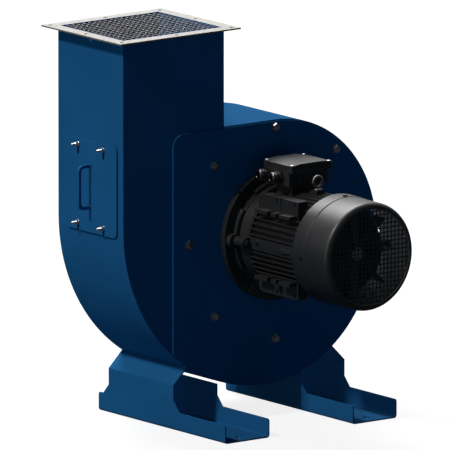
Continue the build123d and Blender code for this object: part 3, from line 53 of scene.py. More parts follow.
# Camera
# It looks at the fan from the outlet's left, in front of the motor and a little above it,
# through a long lens, so that parallel edges stay almost parallel.
LENS = 1600.0
SENSOR = 36.0
VIEW_WIDTH = 0.8334
VIEW_AZIMUTH = math.radians(-37.1)
VIEW_ELEVATION = math.radians(11.2)
VIEW_CENTRE = Vector((-0.0368, 0.0206, 0.3586))
FARTHEST = 100.0

right = Vector((math.cos(VIEW_AZIMUTH), math.sin(VIEW_AZIMUTH), 0.0))
level_back = Vector((math.sin(VIEW_AZIMUTH), -math.cos(VIEW_AZIMUTH), 0.0))
back = level_back * math.cos(VIEW_ELEVATION) + Vector((0.0, 0.0, math.sin(VIEW_ELEVATION)))
up = back.cross(right)
distance = VIEW_WIDTH * LENS / SENSOR
camera = bpy.data.objects.new("camera", bpy.data.cameras.new("camera"))
camera.data.lens = LENS
camera.data.sensor_width = SENSOR
camera.data.clip_end = FARTHEST
turn = Matrix((right, up, back)).transposed().to_4x4()
camera.matrix_world = Matrix.Translation(VIEW_CENTRE + back * distance) @ turn
bpy.context.scene.collection.objects.link(camera)
bpy.context.scene.camera = camera

# Light
# One lamp stands high on the outlet's left, a weak one without shadow low beside it, a broad one
# high behind. Reflections see the room white behind and dark in front, and its own light is a
# faint blue fill.
KEY_HEIGHT = math.radians(48.0)
KEY_STRENGTH = 1.24
KEY_SPREAD = math.radians(6.0)
LOW_HEIGHT = math.radians(4.0)
LOW_STRENGTH = 0.26
LOW_SPREAD = math.radians(30.0)
BACK_LEAN = math.radians(35.0)
BACK_TURN = math.radians(-15.0)
BACK_STRENGTH = 3.0
BACK_SPREAD = math.radians(40.0)
ROOM_FILL = 0.028
ROOM_TINT = (0.15, 0.66, 1.2)
ROOM_FRONT = 0.03
ROOM_BACK = 1.0
ROOM_LOW = 0.15
ROOM_HIGH = 1.8
ROOM_TURN = (-0.35, 0.45)
ROOM_RISE = (0.05, 0.75)
WHITE = (1.0, 1.0, 1.0)


def add_lamp(name, strength, spread, turn):
    lamp = bpy.data.objects.new(name, bpy.data.lights.new(name, "SUN"))
    lamp.data.energy = strength
    lamp.data.angle = spread
    lamp.rotation_euler = turn
    bpy.context.scene.collection.objects.link(lamp)
    return lamp


add_lamp("key_lamp", KEY_STRENGTH, KEY_SPREAD, (0.0, KEY_HEIGHT - math.pi / 2, 0.0))
low = add_lamp("low_lamp", LOW_STRENGTH, LOW_SPREAD, (0.0, LOW_HEIGHT - math.pi / 2, 0.0))
low.data.use_shadow = False
add_lamp("back_lamp", BACK_STRENGTH, BACK_SPREAD, (-BACK_LEAN, 0.0, BACK_TURN))


def new_node(tree, kind, operation=None):
    node = tree.nodes.new(kind)
    if operation:
        node.operation = operation
    return node


def combine(tree, operation, first, second, kind="ShaderNodeMath", result=0):
    node = new_node(tree, kind, operation)
    tree.links.new(first, node.inputs[0])
    tree.links.new(second, node.inputs[1])
    return node.outputs[result]


def towards(tree, first, second):
    """1 where two directions agree, and -1 where they are opposed."""
    return combine(tree, "DOT_PRODUCT", first, second, "ShaderNodeVectorMath", "Value")


def seen_by_ray(tree, *rays):
    """1 for any of these kinds of ray, 0 for the rest."""
    path = new_node(tree, "ShaderNodeLightPath")
    total = path.outputs[rays[0]]
    for ray in rays[1:]:
        total = combine(tree, "MAXIMUM", total, path.outputs[ray])
    return total


def remap(tree, source, low, high, start=0.0, end=1.0):
    """Spread start to end of the source over low to high."""
    mapped = new_node(tree, "ShaderNodeMapRange")
    mapped.inputs["From Min"].default_value = start
    mapped.inputs["From Max"].default_value = end
    mapped.inputs["To Min"].default_value = low
    mapped.inputs["To Max"].default_value = high
    tree.links.new(source, mapped.inputs["Value"])
    return mapped.outputs["Result"]


def mix_colour(tree, mask, first, second):
    """Blend from the first colour, a value or an output, to the second by the mask."""
    mix = new_node(tree, "ShaderNodeMix")
    mix.data_type = "RGBA"
    tree.links.new(mask, mix.inputs["Factor"])
    for socket, colour in ((mix.inputs[6], first), (mix.inputs[7], second)):
        if isinstance(colour, tuple):
            socket.default_value = (*colour, 1.0)
        else:
            tree.links.new(colour, socket)
    return mix.outputs[2]


world = bpy.data.worlds.new("room")
bpy.context.scene.world = world
world.use_nodes = True
room = world.node_tree
room_way = new_node(room, "ShaderNodeTexCoord")
room_parts = new_node(room, "ShaderNodeSeparateXYZ")
room.links.new(room_way.outputs["Generated"], room_parts.inputs[0])
room_wall = remap(room, room_parts.outputs["Y"], ROOM_FRONT, ROOM_BACK, *ROOM_TURN)
room_height = remap(room, room_parts.outputs["Z"], ROOM_LOW, ROOM_HIGH, *ROOM_RISE)
room_box = combine(room, "MULTIPLY", room_height, room_wall)
room_mirrored = combine(room, "MULTIPLY", seen_by_ray(room, "Is Glossy Ray"), room_box)
room_plain = seen_by_ray(room, "Is Camera Ray", "Is Transmission Ray")
room_level = new_node(room, "ShaderNodeMath", "MAXIMUM")
room_level.inputs[1].default_value = ROOM_FILL
room.links.new(combine(room, "MAXIMUM", room_mirrored, room_plain), room_level.inputs[0])
room_seen = seen_by_ray(room, "Is Camera Ray", "Is Glossy Ray", "Is Transmission Ray")
room.links.new(room_level.outputs[0], room.nodes["Background"].inputs["Strength"])
room_colour = mix_colour(room, room_seen, ROOM_TINT, WHITE)
room.links.new(room_colour, room.nodes["Background"].inputs["Color"])
bpy.context.scene.view_settings.view_transform = "Standard"

# Floor
# A wide sheet of pale studio board with a faint glow, so that it is as bright as the room.
# The metal sees it in shade, and it throws a little light back, tinted by the casing.
FLOOR_SIZE = 30.0
FLOOR_PALE = 0.25
FLOOR_MIRRORED = 0.04
FLOOR_BOUNCE = (0.02, 0.077, 0.112)
FLOOR_GLOW = 0.84
FLOOR_ROUGHNESS = 0.9
FINISH = {}


def new_material(name):
    material = bpy.data.materials.new(name)
    material.use_nodes = True
    FINISH[name] = material
    return material.node_tree, material.node_tree.nodes["Principled BSDF"]


def as_mesh(shape, name="template"):
    mesh = bpy.data.meshes.new(name)
    shape.to_mesh(mesh)
    shape.free()
    return mesh


shape = bmesh.new()
bmesh.ops.create_grid(shape, x_segments=1, y_segments=1, size=FLOOR_SIZE / 2)
floor = bpy.data.objects.new("floor", as_mesh(shape, "floor"))
bpy.context.scene.collection.objects.link(floor)
board_tree, board_shader = new_material("studio_board")
board_shader.inputs["Roughness"].default_value = FLOOR_ROUGHNESS
board_shader.inputs["Specular IOR Level"].default_value = 0.0
board_shader.inputs["Emission Color"].default_value = (*WHITE, 1.0)
board_camera = seen_by_ray(board_tree, "Is Camera Ray")
board_glossy = seen_by_ray(board_tree, "Is Glossy Ray", "Is Transmission Ray")
board_mirrored = mix_colour(board_tree, board_glossy, FLOOR_BOUNCE, (FLOOR_MIRRORED,) * 3)
board_colour = mix_colour(board_tree, board_camera, board_mirrored, (FLOOR_PALE,) * 3)
board_tree.links.new(board_colour, board_shader.inputs["Base Color"])
board_glow = remap(board_tree, board_camera, 0.0, FLOOR_GLOW)
board_tree.links.new(board_glow, board_shader.inputs["Emission Strength"])
floor.data.materials.append(FINISH["studio_board"])

# Casing
# Folded and welded sheet steel, 2.5 mm thick: the scroll, its two flat sides and the lip at the
# throat. It is powder-coated blue, with the faint orange peel of such paint. Along the sheared
# edges the coat is a little thinner and lighter, and that lighter colour is also a painted highlight.
BLUE = (0.0185, 0.144, 0.351)
# Edge colour: thinner coat, and a painted edge highlight.
BLUE_WORN_AND_HIGHLIT_EDGE = (0.06, 0.23, 0.45)
DUST = (0.30, 0.29, 0.27)
NOISE_SPREAD = (0.3, 0.7)
EDGE_BEND = (0.7, 0.99)
PATCH_LEAST = 0.3
PATCH_SPREAD = (0.35, 0.6)
PATCH_DETAIL = 4.0
DUST_SLOPE = (0.5, 1.0)
DRIFT_SCALE = 35.0
DRIFT_DETAIL = 5.0
DRIFT_LEAST = 0.2
DRIFT_SPREAD = (0.35, 0.65)
TONE_SPREAD = 0.05
ROUGHNESS_SPREAD = 0.04
COAT_BUMP = 0.5
SHEET_EDGE = 0.0005
MERGE = 0.00001
FLAT_WITHIN = math.radians(0.3)
SHARP_OVER = math.radians(30.0)


def new_group(name, inputs, outputs):
    group = bpy.data.node_groups.new(name, "ShaderNodeTree")
    for label, value in inputs.items():
        socket = group.interface.new_socket(name=label, in_out="INPUT", socket_type="NodeSocketFloat")
        socket.default_value = value
    for label in outputs:
        group.interface.new_socket(name=label, in_out="OUTPUT", socket_type="NodeSocketFloat")
    return group, group.nodes.new("NodeGroupInput"), group.nodes.new("NodeGroupOutput")


def place_group(tree, group, **values):
    """The group in a material's tree, with its inputs set by their names."""
    node = tree.nodes.new("ShaderNodeGroup")
    node.node_tree = group
    for label, value in values.items():
        node.inputs[label].default_value = value
    return node


def noise_on_object(tree, scale, detail=2.0):
    """Noise in the piece's own coordinates, at a scale that is a number or an output."""
    place = new_node(tree, "ShaderNodeTexCoord")
    noise = new_node(tree, "ShaderNodeTexNoise")
    noise.inputs["Detail"].default_value = detail
    tree.links.new(place.outputs["Object"], noise.inputs["Vector"])
    if isinstance(scale, (int, float)):
        noise.inputs["Scale"].default_value = scale
    else:
        tree.links.new(scale, noise.inputs["Scale"])
    return noise


# Surface of a sprayed or cast skin: fine bumps, and a slow change of tone over the piece.
skin, skin_in, skin_out = new_group("skin", {"Bump Scale": 700.0, "Tone Scale": 9.0}, ("Height", "Tone"))
for label, output in (("Bump Scale", "Height"), ("Tone Scale", "Tone")):
    source = noise_on_object(skin, skin_in.outputs[label])
    spread = remap(skin, source.outputs["Fac"], 0.0, 1.0, *NOISE_SPREAD)
    skin.links.new(spread, skin_out.inputs[output])

# Edges where a coat is thin or rubbed, painted lighter also as a painted edge highlight: the bent
# normal of a rounded edge against the true one.
wear_and_highlight, wear_and_highlight_in, wear_and_highlight_out = new_group("edge_wear_and_highlight", {"Width": 0.0008, "Patch Scale": 60.0}, ("Mask",))
rounded = new_node(wear_and_highlight, "ShaderNodeBevel")
rounded.samples = 4
wear_and_highlight.links.new(wear_and_highlight_in.outputs["Width"], rounded.inputs["Radius"])
true_normal = new_node(wear_and_highlight, "ShaderNodeNewGeometry")
kept = towards(wear_and_highlight, rounded.outputs["Normal"], true_normal.outputs["Normal"])
edge = remap(wear_and_highlight, kept, 1.0, 0.0, *EDGE_BEND)
patches = noise_on_object(wear_and_highlight, wear_and_highlight_in.outputs["Patch Scale"], PATCH_DETAIL)
patchy = remap(wear_and_highlight, patches.outputs["Fac"], PATCH_LEAST, 1.0, *PATCH_SPREAD)
wear_and_highlight.links.new(combine(wear_and_highlight, "MULTIPLY", edge, patchy), wear_and_highlight_out.inputs["Mask"])

# Dust that lies on what faces up.
dust, dust_in, dust_out = new_group("dust", {"Amount": 0.1}, ("Mask",))
upward = new_node(dust, "ShaderNodeNewGeometry")
split_up = new_node(dust, "ShaderNodeSeparateXYZ")
dust.links.new(upward.outputs["Normal"], split_up.inputs[0])
lying = remap(dust, split_up.outputs["Z"], 0.0, 1.0, *DUST_SLOPE)
drift = noise_on_object(dust, DRIFT_SCALE, DRIFT_DETAIL)
drifted = remap(dust, drift.outputs["Fac"], DRIFT_LEAST, 1.0, *DRIFT_SPREAD)
settled = combine(dust, "MULTIPLY", lying, drifted)
amount = combine(dust, "MULTIPLY", settled, dust_in.outputs["Amount"])
dust.links.new(amount, dust_out.inputs["Mask"])


def shade(colour, share):
    return tuple(channel * share for channel in colour)


def tone_between(tree, surface, colour, low, high):
    return mix_colour(tree, surface.outputs["Tone"], shade(colour, low), shade(colour, high))


def add_bump(tree, shader, surface, strength, depth):
    bump = new_node(tree, "ShaderNodeBump")
    bump.inputs["Strength"].default_value = strength
    bump.inputs["Distance"].default_value = depth
    tree.links.new(surface.outputs["Height"], bump.inputs["Height"])
    tree.links.new(bump.outputs["Normal"], shader.inputs["Normal"])


def coated(name, colour, edge_wear_and_highlight_colour, roughness, gloss, bump_scale, bump_depth, dusty):
    """Paint or moulded skin: tone, thin edges lightened also as a painted highlight, a little dust, and its
    bumps.
    """
    tree, shader = new_material(name)
    surface = place_group(tree, skin, **{"Bump Scale": bump_scale})
    edges = place_group(tree, wear_and_highlight)
    dirt = place_group(tree, dust, Amount=dusty)
    toned = tone_between(tree, surface, colour, 1 - TONE_SPREAD, 1 + TONE_SPREAD)
    # Edges lighter: thinner coat, and a painted edge highlight.
    rubbed_and_highlit = mix_colour(tree, edges.outputs["Mask"], toned, edge_wear_and_highlight_colour)
    dusted = mix_colour(tree, dirt.outputs["Mask"], rubbed_and_highlit, DUST)
    tree.links.new(dusted, shader.inputs["Base Color"])
    low, high = roughness - ROUGHNESS_SPREAD, roughness + ROUGHNESS_SPREAD
    tree.links.new(remap(tree, surface.outputs["Tone"], low, high), shader.inputs["Roughness"])
    shader.inputs["Specular IOR Level"].default_value = gloss
    add_bump(tree, shader, surface, COAT_BUMP, bump_depth)


coated(
    "casing_paint", BLUE, BLUE_WORN_AND_HIGHLIT_EDGE, roughness=0.55, gloss=0.002,
    bump_scale=900.0, bump_depth=0.00003, dusty=0.03,
)


def add_piece(name, mesh, replaced, material=None):
    """Put a finished mesh in the place of CAD nodes, on their body and in their slot."""
    mesh.materials.clear()
    mesh.materials.append(material or FINISH[slot_of[replaced[0]]])
    mesh.shade_smooth()
    mesh.set_sharp_from_angle(angle=SHARP_OVER)
    piece = bpy.data.objects.new(name, mesh)
    bpy.context.scene.collection.objects.link(piece)
    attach(piece, body_of[replaced[0]])
    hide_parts(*replaced)
    return piece


def merged_copy(node):
    """The node's own CAD shape, with the corners of its facets joined."""
    shape = bmesh.new()
    shape.from_mesh(nodes[node].data)
    bmesh.ops.remove_doubles(shape, verts=shape.verts, dist=MERGE)
    return shape


def round_edges(piece, width, segments=2):
    rounding = piece.modifiers.new("rounded_edges", "BEVEL")
    rounding.width = width
    rounding.segments = segments
    rounding.limit_method = "ANGLE"
    rounding.angle_limit = SHARP_OVER
    rounding.harden_normals = True


def break_edges(node, width, material=None, segments=2):
    """The node's own shape with its flat faces joined and its sharp edges rounded."""
    shape = merged_copy(node)
    bmesh.ops.dissolve_limit(
        shape, angle_limit=FLAT_WITHIN, use_dissolve_boundaries=False,
        verts=shape.verts, edges=shape.edges, delimit=set(),
    )
    name = node + "_finished"
    round_edges(add_piece(name, as_mesh(shape, name), (node,), material), width, segments)


def break_each(names, width):
    for node in names:
        break_edges(node, width)


break_each(("scroll_wrapper", "motor_side_plate", "inlet_side_plate", "cutoff_tongue"), SHEET_EDGE)

# Outlet flange
# A frame of galvanised flat bar round the mouth of the duct, with eight holes for the ductwork.
# The zinc shows as soft spangles and dulls to a warm grey.
ZINC = (0.32, 0.31, 0.295)
FLANGE_EDGE = 0.0005
GRAIN_DETAIL = 3.0
GRAIN_TONE_SCALE = 25.0
METAL_BUMP = 0.4
METAL_DUST = 0.15
DUSTY_SHARE = 0.5
SPANGLE_SCALE = 180.0
SPANGLE_TONES = (0.86, 1.1)

# Metal that was rolled or drawn: fine lines along one way, and a slow change of tone.
grain, grain_in, grain_out = new_group(
    "metal_grain", {"Scale": 400.0, "Across": 1.0, "Along": 0.1}, ("Tone", "Height")
)
grain_place = new_node(grain, "ShaderNodeTexCoord")
grain_ways = new_node(grain, "ShaderNodeCombineXYZ")
for axis, label in (("X", "Across"), ("Y", "Along"), ("Z", "Across")):
    grain.links.new(grain_in.outputs[label], grain_ways.inputs[axis])
grain_drawn = combine(
    grain, "MULTIPLY", grain_place.outputs["Object"], grain_ways.outputs[0], "ShaderNodeVectorMath"
)
grain_lines = new_node(grain, "ShaderNodeTexNoise")
grain_lines.inputs["Detail"].default_value = GRAIN_DETAIL
grain.links.new(grain_drawn, grain_lines.inputs["Vector"])
grain.links.new(grain_in.outputs["Scale"], grain_lines.inputs["Scale"])
grain.links.new(grain_lines.outputs["Fac"], grain_out.inputs["Height"])
grain_tone = noise_on_object(grain, GRAIN_TONE_SCALE)
grain_spread = remap(grain, grain_tone.outputs["Fac"], 0.0, 1.0, *NOISE_SPREAD)
grain.links.new(grain_spread, grain_out.inputs["Tone"])


def bare_metal(name, colour, roughness, scale, depth, metallic=1.0, spread=0.08):
    """Bare or plated metal: its tone and gloss wander a little, and its grain catches light."""
    tree, shader = new_material(name)
    surface = place_group(tree, grain, Scale=scale)
    dirt = place_group(tree, dust, Amount=METAL_DUST)
    toned = tone_between(tree, surface, colour, 1 - spread, 1 + spread)
    dusted = mix_colour(tree, dirt.outputs["Mask"], toned, shade(colour, DUSTY_SHARE))
    tree.links.new(dusted, shader.inputs["Base Color"])
    dull = remap(tree, surface.outputs["Height"], roughness - spread, roughness + spread)
    tree.links.new(dull, shader.inputs["Roughness"])
    shader.inputs["Metallic"].default_value = metallic
    add_bump(tree, shader, surface, METAL_BUMP, depth)


bare_metal("zinc_sheet", ZINC, roughness=0.6, scale=500.0, depth=0.00002)
zinc_tree = FINISH["zinc_sheet"].node_tree
zinc_shader = zinc_tree.nodes["Principled BSDF"]
spangle_place = new_node(zinc_tree, "ShaderNodeTexCoord")
spangle = new_node(zinc_tree, "ShaderNodeTexVoronoi")
spangle.inputs["Scale"].default_value = SPANGLE_SCALE
zinc_tree.links.new(spangle_place.outputs["Object"], spangle.inputs["Vector"])
spangle_parts = new_node(zinc_tree, "ShaderNodeSeparateColor")
zinc_tree.links.new(spangle.outputs["Color"], spangle_parts.inputs[0])
spangle_pair = [shade(ZINC, share) for share in SPANGLE_TONES]
spangled = mix_colour(zinc_tree, spangle_parts.outputs[0], *spangle_pair)
zinc_tree.links.new(spangled, zinc_shader.inputs["Base Color"])
break_edges("outlet_flange", FLANGE_EDGE)

# Outlet guard
# Round galvanised wires, welded where they cross, inside a painted strip frame that four small
# rivets hold in the duct. The upper layer lies level with the flange.
WIRE = 0.0012
WIRE_PITCH = 0.0127
WIRE_SIDES = 10
WELD_RADIUS = 0.0008
GUARD_EDGE = 0.0003

guard_low, guard_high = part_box("outlet_guard")
guard_span = guard_high - guard_low
shape = bmesh.new()
upper = guard_high.z - WIRE / 2
lower = upper - WIRE
middle = (guard_low + guard_high) / 2


def add_bar(shape, radius, length, place, sides=WIRE_SIDES):
    bmesh.ops.create_cone(
        shape, cap_ends=True, segments=sides, radius1=radius, radius2=radius, depth=length, matrix=place
    )


def wire_places(start, span):
    count = round(span / WIRE_PITCH)
    return [start + span * step / count for step in range(1, count)]


along_x = wire_places(guard_low.y, guard_span.y)
along_y = wire_places(guard_low.x, guard_span.x)
for y in along_x:
    lie = Matrix.Translation((middle.x, y, upper)) @ Matrix.Rotation(math.pi / 2, 4, "Y")
    add_bar(shape, WIRE / 2, guard_span.x, lie)
for x in along_y:
    lie = Matrix.Translation((x, middle.y, lower)) @ Matrix.Rotation(math.pi / 2, 4, "X")
    add_bar(shape, WIRE / 2, guard_span.y, lie)
for x in along_y:
    for y in along_x:
        spot = Matrix.Translation((x, y, (upper + lower) / 2))
        bmesh.ops.create_icosphere(shape, subdivisions=1, radius=WELD_RADIUS, matrix=spot)
add_piece("guard_mesh", as_mesh(shape, "guard_mesh"), ("outlet_guard",))
break_each(("guard_frame", "guard_rivets"), GUARD_EDGE)

# Inspection hatch
# A flat sheet that hangs on four studs by its slots, with a welded bow handle of square bar and
# a rubber frame glued to its back. Washers and nuts hold it against the duct.
HANDLE_EDGE = 0.0008
BEAD_SIDE = 0.0088
BEAD_HEIGHT = 0.0016
BEAD_ROUND = 0.0007
RUBBER = (0.018, 0.018, 0.018)
BRIGHT_ZINC = (0.66, 0.67, 0.66)
WASHER_EDGE = 0.2
NUT_CHAMFER = 0.0005
THREAD_PITCH = 0.0008
THREAD_DEPTH = 0.0004
STUD_SIDES = 16

# Its edges are twice as light: wear, and a painted edge highlight.
coated(
    "black_rubber", RUBBER, shade(RUBBER, 2.0), roughness=0.8, gloss=0.3,
    bump_scale=500.0, bump_depth=0.00005, dusty=0.06,
)
bare_metal("zinc_fastener", BRIGHT_ZINC, roughness=0.32, scale=900.0, depth=0.00001)
break_each(("hatch_plate", "hatch_gasket"), SHEET_EDGE)
break_edges("hatch_handle", HANDLE_EDGE, segments=3)

handle_low, handle_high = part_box("hatch_handle")
bar = handle_high.y - handle_low.y
shape = bmesh.new()
for z in (handle_low.z + bar / 2, handle_high.z - bar / 2):
    spot = Matrix.Translation((handle_high.x - BEAD_HEIGHT / 2, (handle_low.y + handle_high.y) / 2, z))
    size = Matrix.Diagonal((BEAD_HEIGHT, BEAD_SIDE, BEAD_SIDE, 1.0))
    bmesh.ops.create_cube(shape, size=1.0, matrix=spot @ size)
bmesh.ops.bevel(
    shape, geom=shape.edges[:], offset=BEAD_ROUND, affect="EDGES", segments=3, profile=0.5, material=-1
)
beads = bpy.data.objects.new("handle_welds", as_mesh(shape, "handle_welds"))
beads.data.materials.append(FINISH["casing_paint"])
beads.data.shade_smooth()
bpy.context.scene.collection.objects.link(beads)
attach(beads, body_of["hatch_plate"])


def lathe(outline, steps=48):
    """Turn an outline of radius and height about Z into a closed mesh."""
    turned = bmesh.new()
    points = [turned.verts.new((radius, 0.0, height)) for radius, height in outline]
    pairs = list(zip(points, points[1:]))
    if outline[0][0] or outline[-1][0]:
        pairs.append((points[-1], points[0]))
    lines = [turned.edges.new(pair) for pair in pairs]
    bmesh.ops.spin(
        turned, geom=points + lines, cent=(0, 0, 0), axis=(0, 0, 1), dvec=(0, 0, 0),
        angle=2 * math.pi, space=Matrix(), steps=steps, use_merge=True,
        use_normal_flip=False, use_duplicate=False,
    )
    bmesh.ops.remove_doubles(turned, verts=turned.verts, dist=MERGE)
    bmesh.ops.dissolve_degenerate(turned, dist=MERGE, edges=turned.edges)
    bmesh.ops.recalc_face_normals(turned, faces=turned.faces)
    return turned


def thread(radius, low, high, pitch=THREAD_PITCH, depth=THREAD_DEPTH):
    """Threaded rod about Z with a chamfered end, as a stack of fine ridges."""
    count = max(2, round((high - low - depth) / pitch))
    step = (high - low - depth) / count
    outline = [(0.0, low), (radius - depth, low)]
    for ridge in range(count):
        outline.append((radius, low + (ridge + 0.5) * step))
        outline.append((radius - depth, low + (ridge + 1.0) * step))
    outline += [(radius - 2 * depth, high), (0.0, high)]
    return as_mesh(lathe(outline, STUD_SIDES))


def hexagon(flats, low, high, chamfer):
    """Hexagonal prism about Z whose upper rim is chamfered."""
    shape = bmesh.new()
    lift = Matrix.Translation((0, 0, (low + high) / 2))
    add_bar(shape, flats / math.sqrt(3), high - low, lift, sides=6)
    rim = [edge for edge in shape.edges if all(vert.co.z > high - MERGE for vert in edge.verts)]
    bmesh.ops.bevel(
        shape, geom=rim, offset=chamfer, affect="EDGES", segments=2, profile=0.5, material=-1
    )
    return as_mesh(shape)


def washer(outer, low, high):
    """Disc about Z whose rims are broken by a share of its thickness."""
    edge = (high - low) * WASHER_EDGE
    outline = (
        (0.0, low), (outer - edge, low), (outer, low + edge),
        (outer, high - edge), (outer - edge, high), (0.0, high),
    )
    return as_mesh(lathe(outline))


def joined(*meshes):
    """One mesh of several closed ones, which are given back."""
    shape = bmesh.new()
    for mesh in meshes:
        shape.from_mesh(mesh)
        bpy.data.meshes.remove(mesh)
    return as_mesh(shape)


def place_copies(template, places, name):
    """One mesh of the template at every place; the template itself is given back."""
    shape = bmesh.new()
    count = len(template.vertices)
    for place in places:
        shape.from_mesh(template)
        shape.verts.ensure_lookup_table()
        bmesh.ops.transform(shape, matrix=place, verts=shape.verts[-count:])
    bpy.data.meshes.remove(template)
    return as_mesh(shape, name)


def solids_of(node):
    """Lowest and highest corner of each separate solid in a node."""
    shape = merged_copy(node)
    shape.verts.ensure_lookup_table()
    reached = set()
    boxes = []
    for first in shape.verts:
        if first.index in reached:
            continue
        reached.add(first.index)
        found = [first]
        for vert in found:
            for edge in vert.link_edges:
                other = edge.other_vert(vert)
                if other.index not in reached:
                    reached.add(other.index)
                    found.append(other)
        low = Vector(min(vert.co[axis] for vert in found) for axis in range(3))
        high = Vector(max(vert.co[axis] for vert in found) for axis in range(3))
        boxes.append((low, high))
    shape.free()
    return boxes


FACE_TURNS = {
    "-X": Matrix.Rotation(-math.pi / 2, 4, "Y"),
    "-Y": Matrix.Rotation(math.pi / 2, 4, "X"),
    "+Y": Matrix.Rotation(-math.pi / 2, 4, "X"),
    "+Z": Matrix.Identity(4),
}


def seats(node, way):
    """A matrix for each solid of a node: its origin at the solid's inner end, +Z facing out."""
    axis = "XYZ".index(way[1])
    places = []
    for low, high in solids_of(node):
        origin = (low + high) / 2
        origin[axis] = high[axis] if way[0] == "-" else low[axis]
        places.append(Matrix.Translation(origin) @ FACE_TURNS[way])
    return places


def extent(node, axis):
    """Length of a node's first solid along X, Y or Z."""
    low, high = solids_of(node)[0]
    return (high - low)["XYZ".index(axis)]


def add_copies(name, template, node, way, material=None):
    """Put the template in the place of each solid of the node."""
    add_piece(name, place_copies(template, seats(node, way), name), (node,), material)


hatch_stud = thread(extent("hatch_studs", "Y") / 2, 0.0, extent("hatch_studs", "X"))
add_copies("threaded_studs", hatch_stud, "hatch_studs", "-X")
hatch_washer = washer(extent("hatch_washers", "Y") / 2, 0.0, extent("hatch_washers", "X"))
add_copies("round_washers", hatch_washer, "hatch_washers", "-X")
hatch_nut = hexagon(extent("hatch_nuts", "Z"), 0.0, extent("hatch_nuts", "X"), NUT_CHAMFER)
add_copies("hexagon_nuts", hatch_nut, "hatch_nuts", "-X")

# Feet
# Two folded steel channels: long rails with anchor holes, whose walls rise to carry the scroll.
# They are welded to it and painted with it.
FOOT_EDGE = 0.0006
break_each(("left_foot", "right_foot"), FOOT_EDGE)

# Motor cover plate
# A flat plate over the opening through which the impeller goes in. Eight hexagon bolts with
# washers hold it, screwed into weld nuts inside the casing.
COVER_FLATS = 0.013
COVER_HEAD = 0.0053
COVER_WASHER = 0.0016
COVER_WASHER_RADIUS = 0.00806
COVER_SHANK = 0.004
HEAD_CHAMFER = 0.0009
BOLT_PITCH = 0.00125
COVER_ZINC = (0.42, 0.43, 0.45)
WELD_NUT_EDGE = 0.0004


def hex_bolt(flats, head, washer_radius, washer_sheet, shank, length, chamfer):
    """Bolt about Z whose head is up: its whole length runs from 0 to the top of the head."""
    head_start = length - head
    parts = [hexagon(flats, head_start, length, chamfer), thread(shank, 0.0, head_start, BOLT_PITCH)]
    if washer_sheet:
        parts.append(washer(washer_radius, head_start - washer_sheet, head_start))
    return joined(*parts)


break_edges("motor_cover_plate", SHEET_EDGE)
bare_metal("cover_bolt_metal", COVER_ZINC, roughness=0.26, scale=700.0, depth=0.00001)
cover_bolt = hex_bolt(
    COVER_FLATS, COVER_HEAD, COVER_WASHER_RADIUS, COVER_WASHER, COVER_SHANK,
    extent("cover_bolts", "Y"), HEAD_CHAMFER,
)
add_copies("hexagon_cover_bolts", cover_bolt, "cover_bolts", "-Y", FINISH["cover_bolt_metal"])
break_edges("cover_weld_nuts", WELD_NUT_EDGE)

# Inlet
# A spun cone leads the air into the impeller's eye, and a flanged collar takes the duct.
# Eight screws and nuts hold both to the far side plate.
INLET_FLATS = 0.010
INLET_HEAD = 0.004
INLET_NUT = 0.005
INLET_SHANK = 0.003
CONE_EDGE = 0.0003
break_edges("inlet_cone", CONE_EDGE)
break_edges("inlet_collar", SHEET_EDGE)
inlet_length = extent("inlet_screws", "Y")
side_low, side_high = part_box("motor_side_plate")
inlet_side_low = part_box("inlet_side_plate")[1].y - (side_high.y - side_low.y)
nut_top = inlet_side_low - solids_of("inlet_screws")[0][0].y
inlet_screw = joined(
    hex_bolt(INLET_FLATS, INLET_HEAD, 0.0, 0.0, INLET_SHANK, inlet_length, HEAD_CHAMFER),
    hexagon(INLET_FLATS, nut_top - INLET_NUT, nut_top, HEAD_CHAMFER),
)
add_copies("hexagon_inlet_screws", inlet_screw, "inlet_screws", "+Y")

# Impeller
# A welded wheel of dark steel plate: back plate, ten blades that lean back, and front ring.
# Six rivets hold it to a turned hub, and a screw with a thick washer holds the hub on the shaft.
WHEEL = (0.045, 0.048, 0.052)
TURNED_STEEL = (0.55, 0.55, 0.56)
PLATE_EDGE = 0.0004
RING_TONE_SCALE = 30.0
RING_TONES = (0.85, 1.1)
RING_SPREAD = 0.06
# Its edges are lighter: wear, and a painted edge highlight.
coated(
    "impeller_steel", WHEEL, shade(WHEEL, 2.5), roughness=0.5, gloss=0.5,
    bump_scale=400.0, bump_depth=0.00005, dusty=0.1,
)

# Steel turned in a lathe, or wound wire: rings about the shaft.
SHAFT_X = sum(corner.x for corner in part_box("motor_shaft")) / 2
SHAFT_Z = sum(corner.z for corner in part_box("motor_shaft")) / 2
rings, rings_in, rings_out = new_group("rings", {"Scale": 200.0, "Bend": 1.0}, ("Tone", "Height"))
rings_place = new_node(rings, "ShaderNodeTexCoord")
rings_centre = new_node(rings, "ShaderNodeMapping")
rings_centre.inputs["Location"].default_value = (-SHAFT_X, 0.0, -SHAFT_Z)
rings.links.new(rings_place.outputs["Object"], rings_centre.inputs["Vector"])
rings_wave = new_node(rings, "ShaderNodeTexWave")
rings_wave.wave_type = "RINGS"
rings_wave.rings_direction = "Y"
rings.links.new(rings_centre.outputs[0], rings_wave.inputs["Vector"])
rings.links.new(rings_in.outputs["Scale"], rings_wave.inputs["Scale"])
rings.links.new(rings_in.outputs["Bend"], rings_wave.inputs["Distortion"])
rings.links.new(rings_wave.outputs["Fac"], rings_out.inputs["Height"])
rings_tone = noise_on_object(rings, RING_TONE_SCALE)
rings.links.new(rings_tone.outputs["Fac"], rings_out.inputs["Tone"])


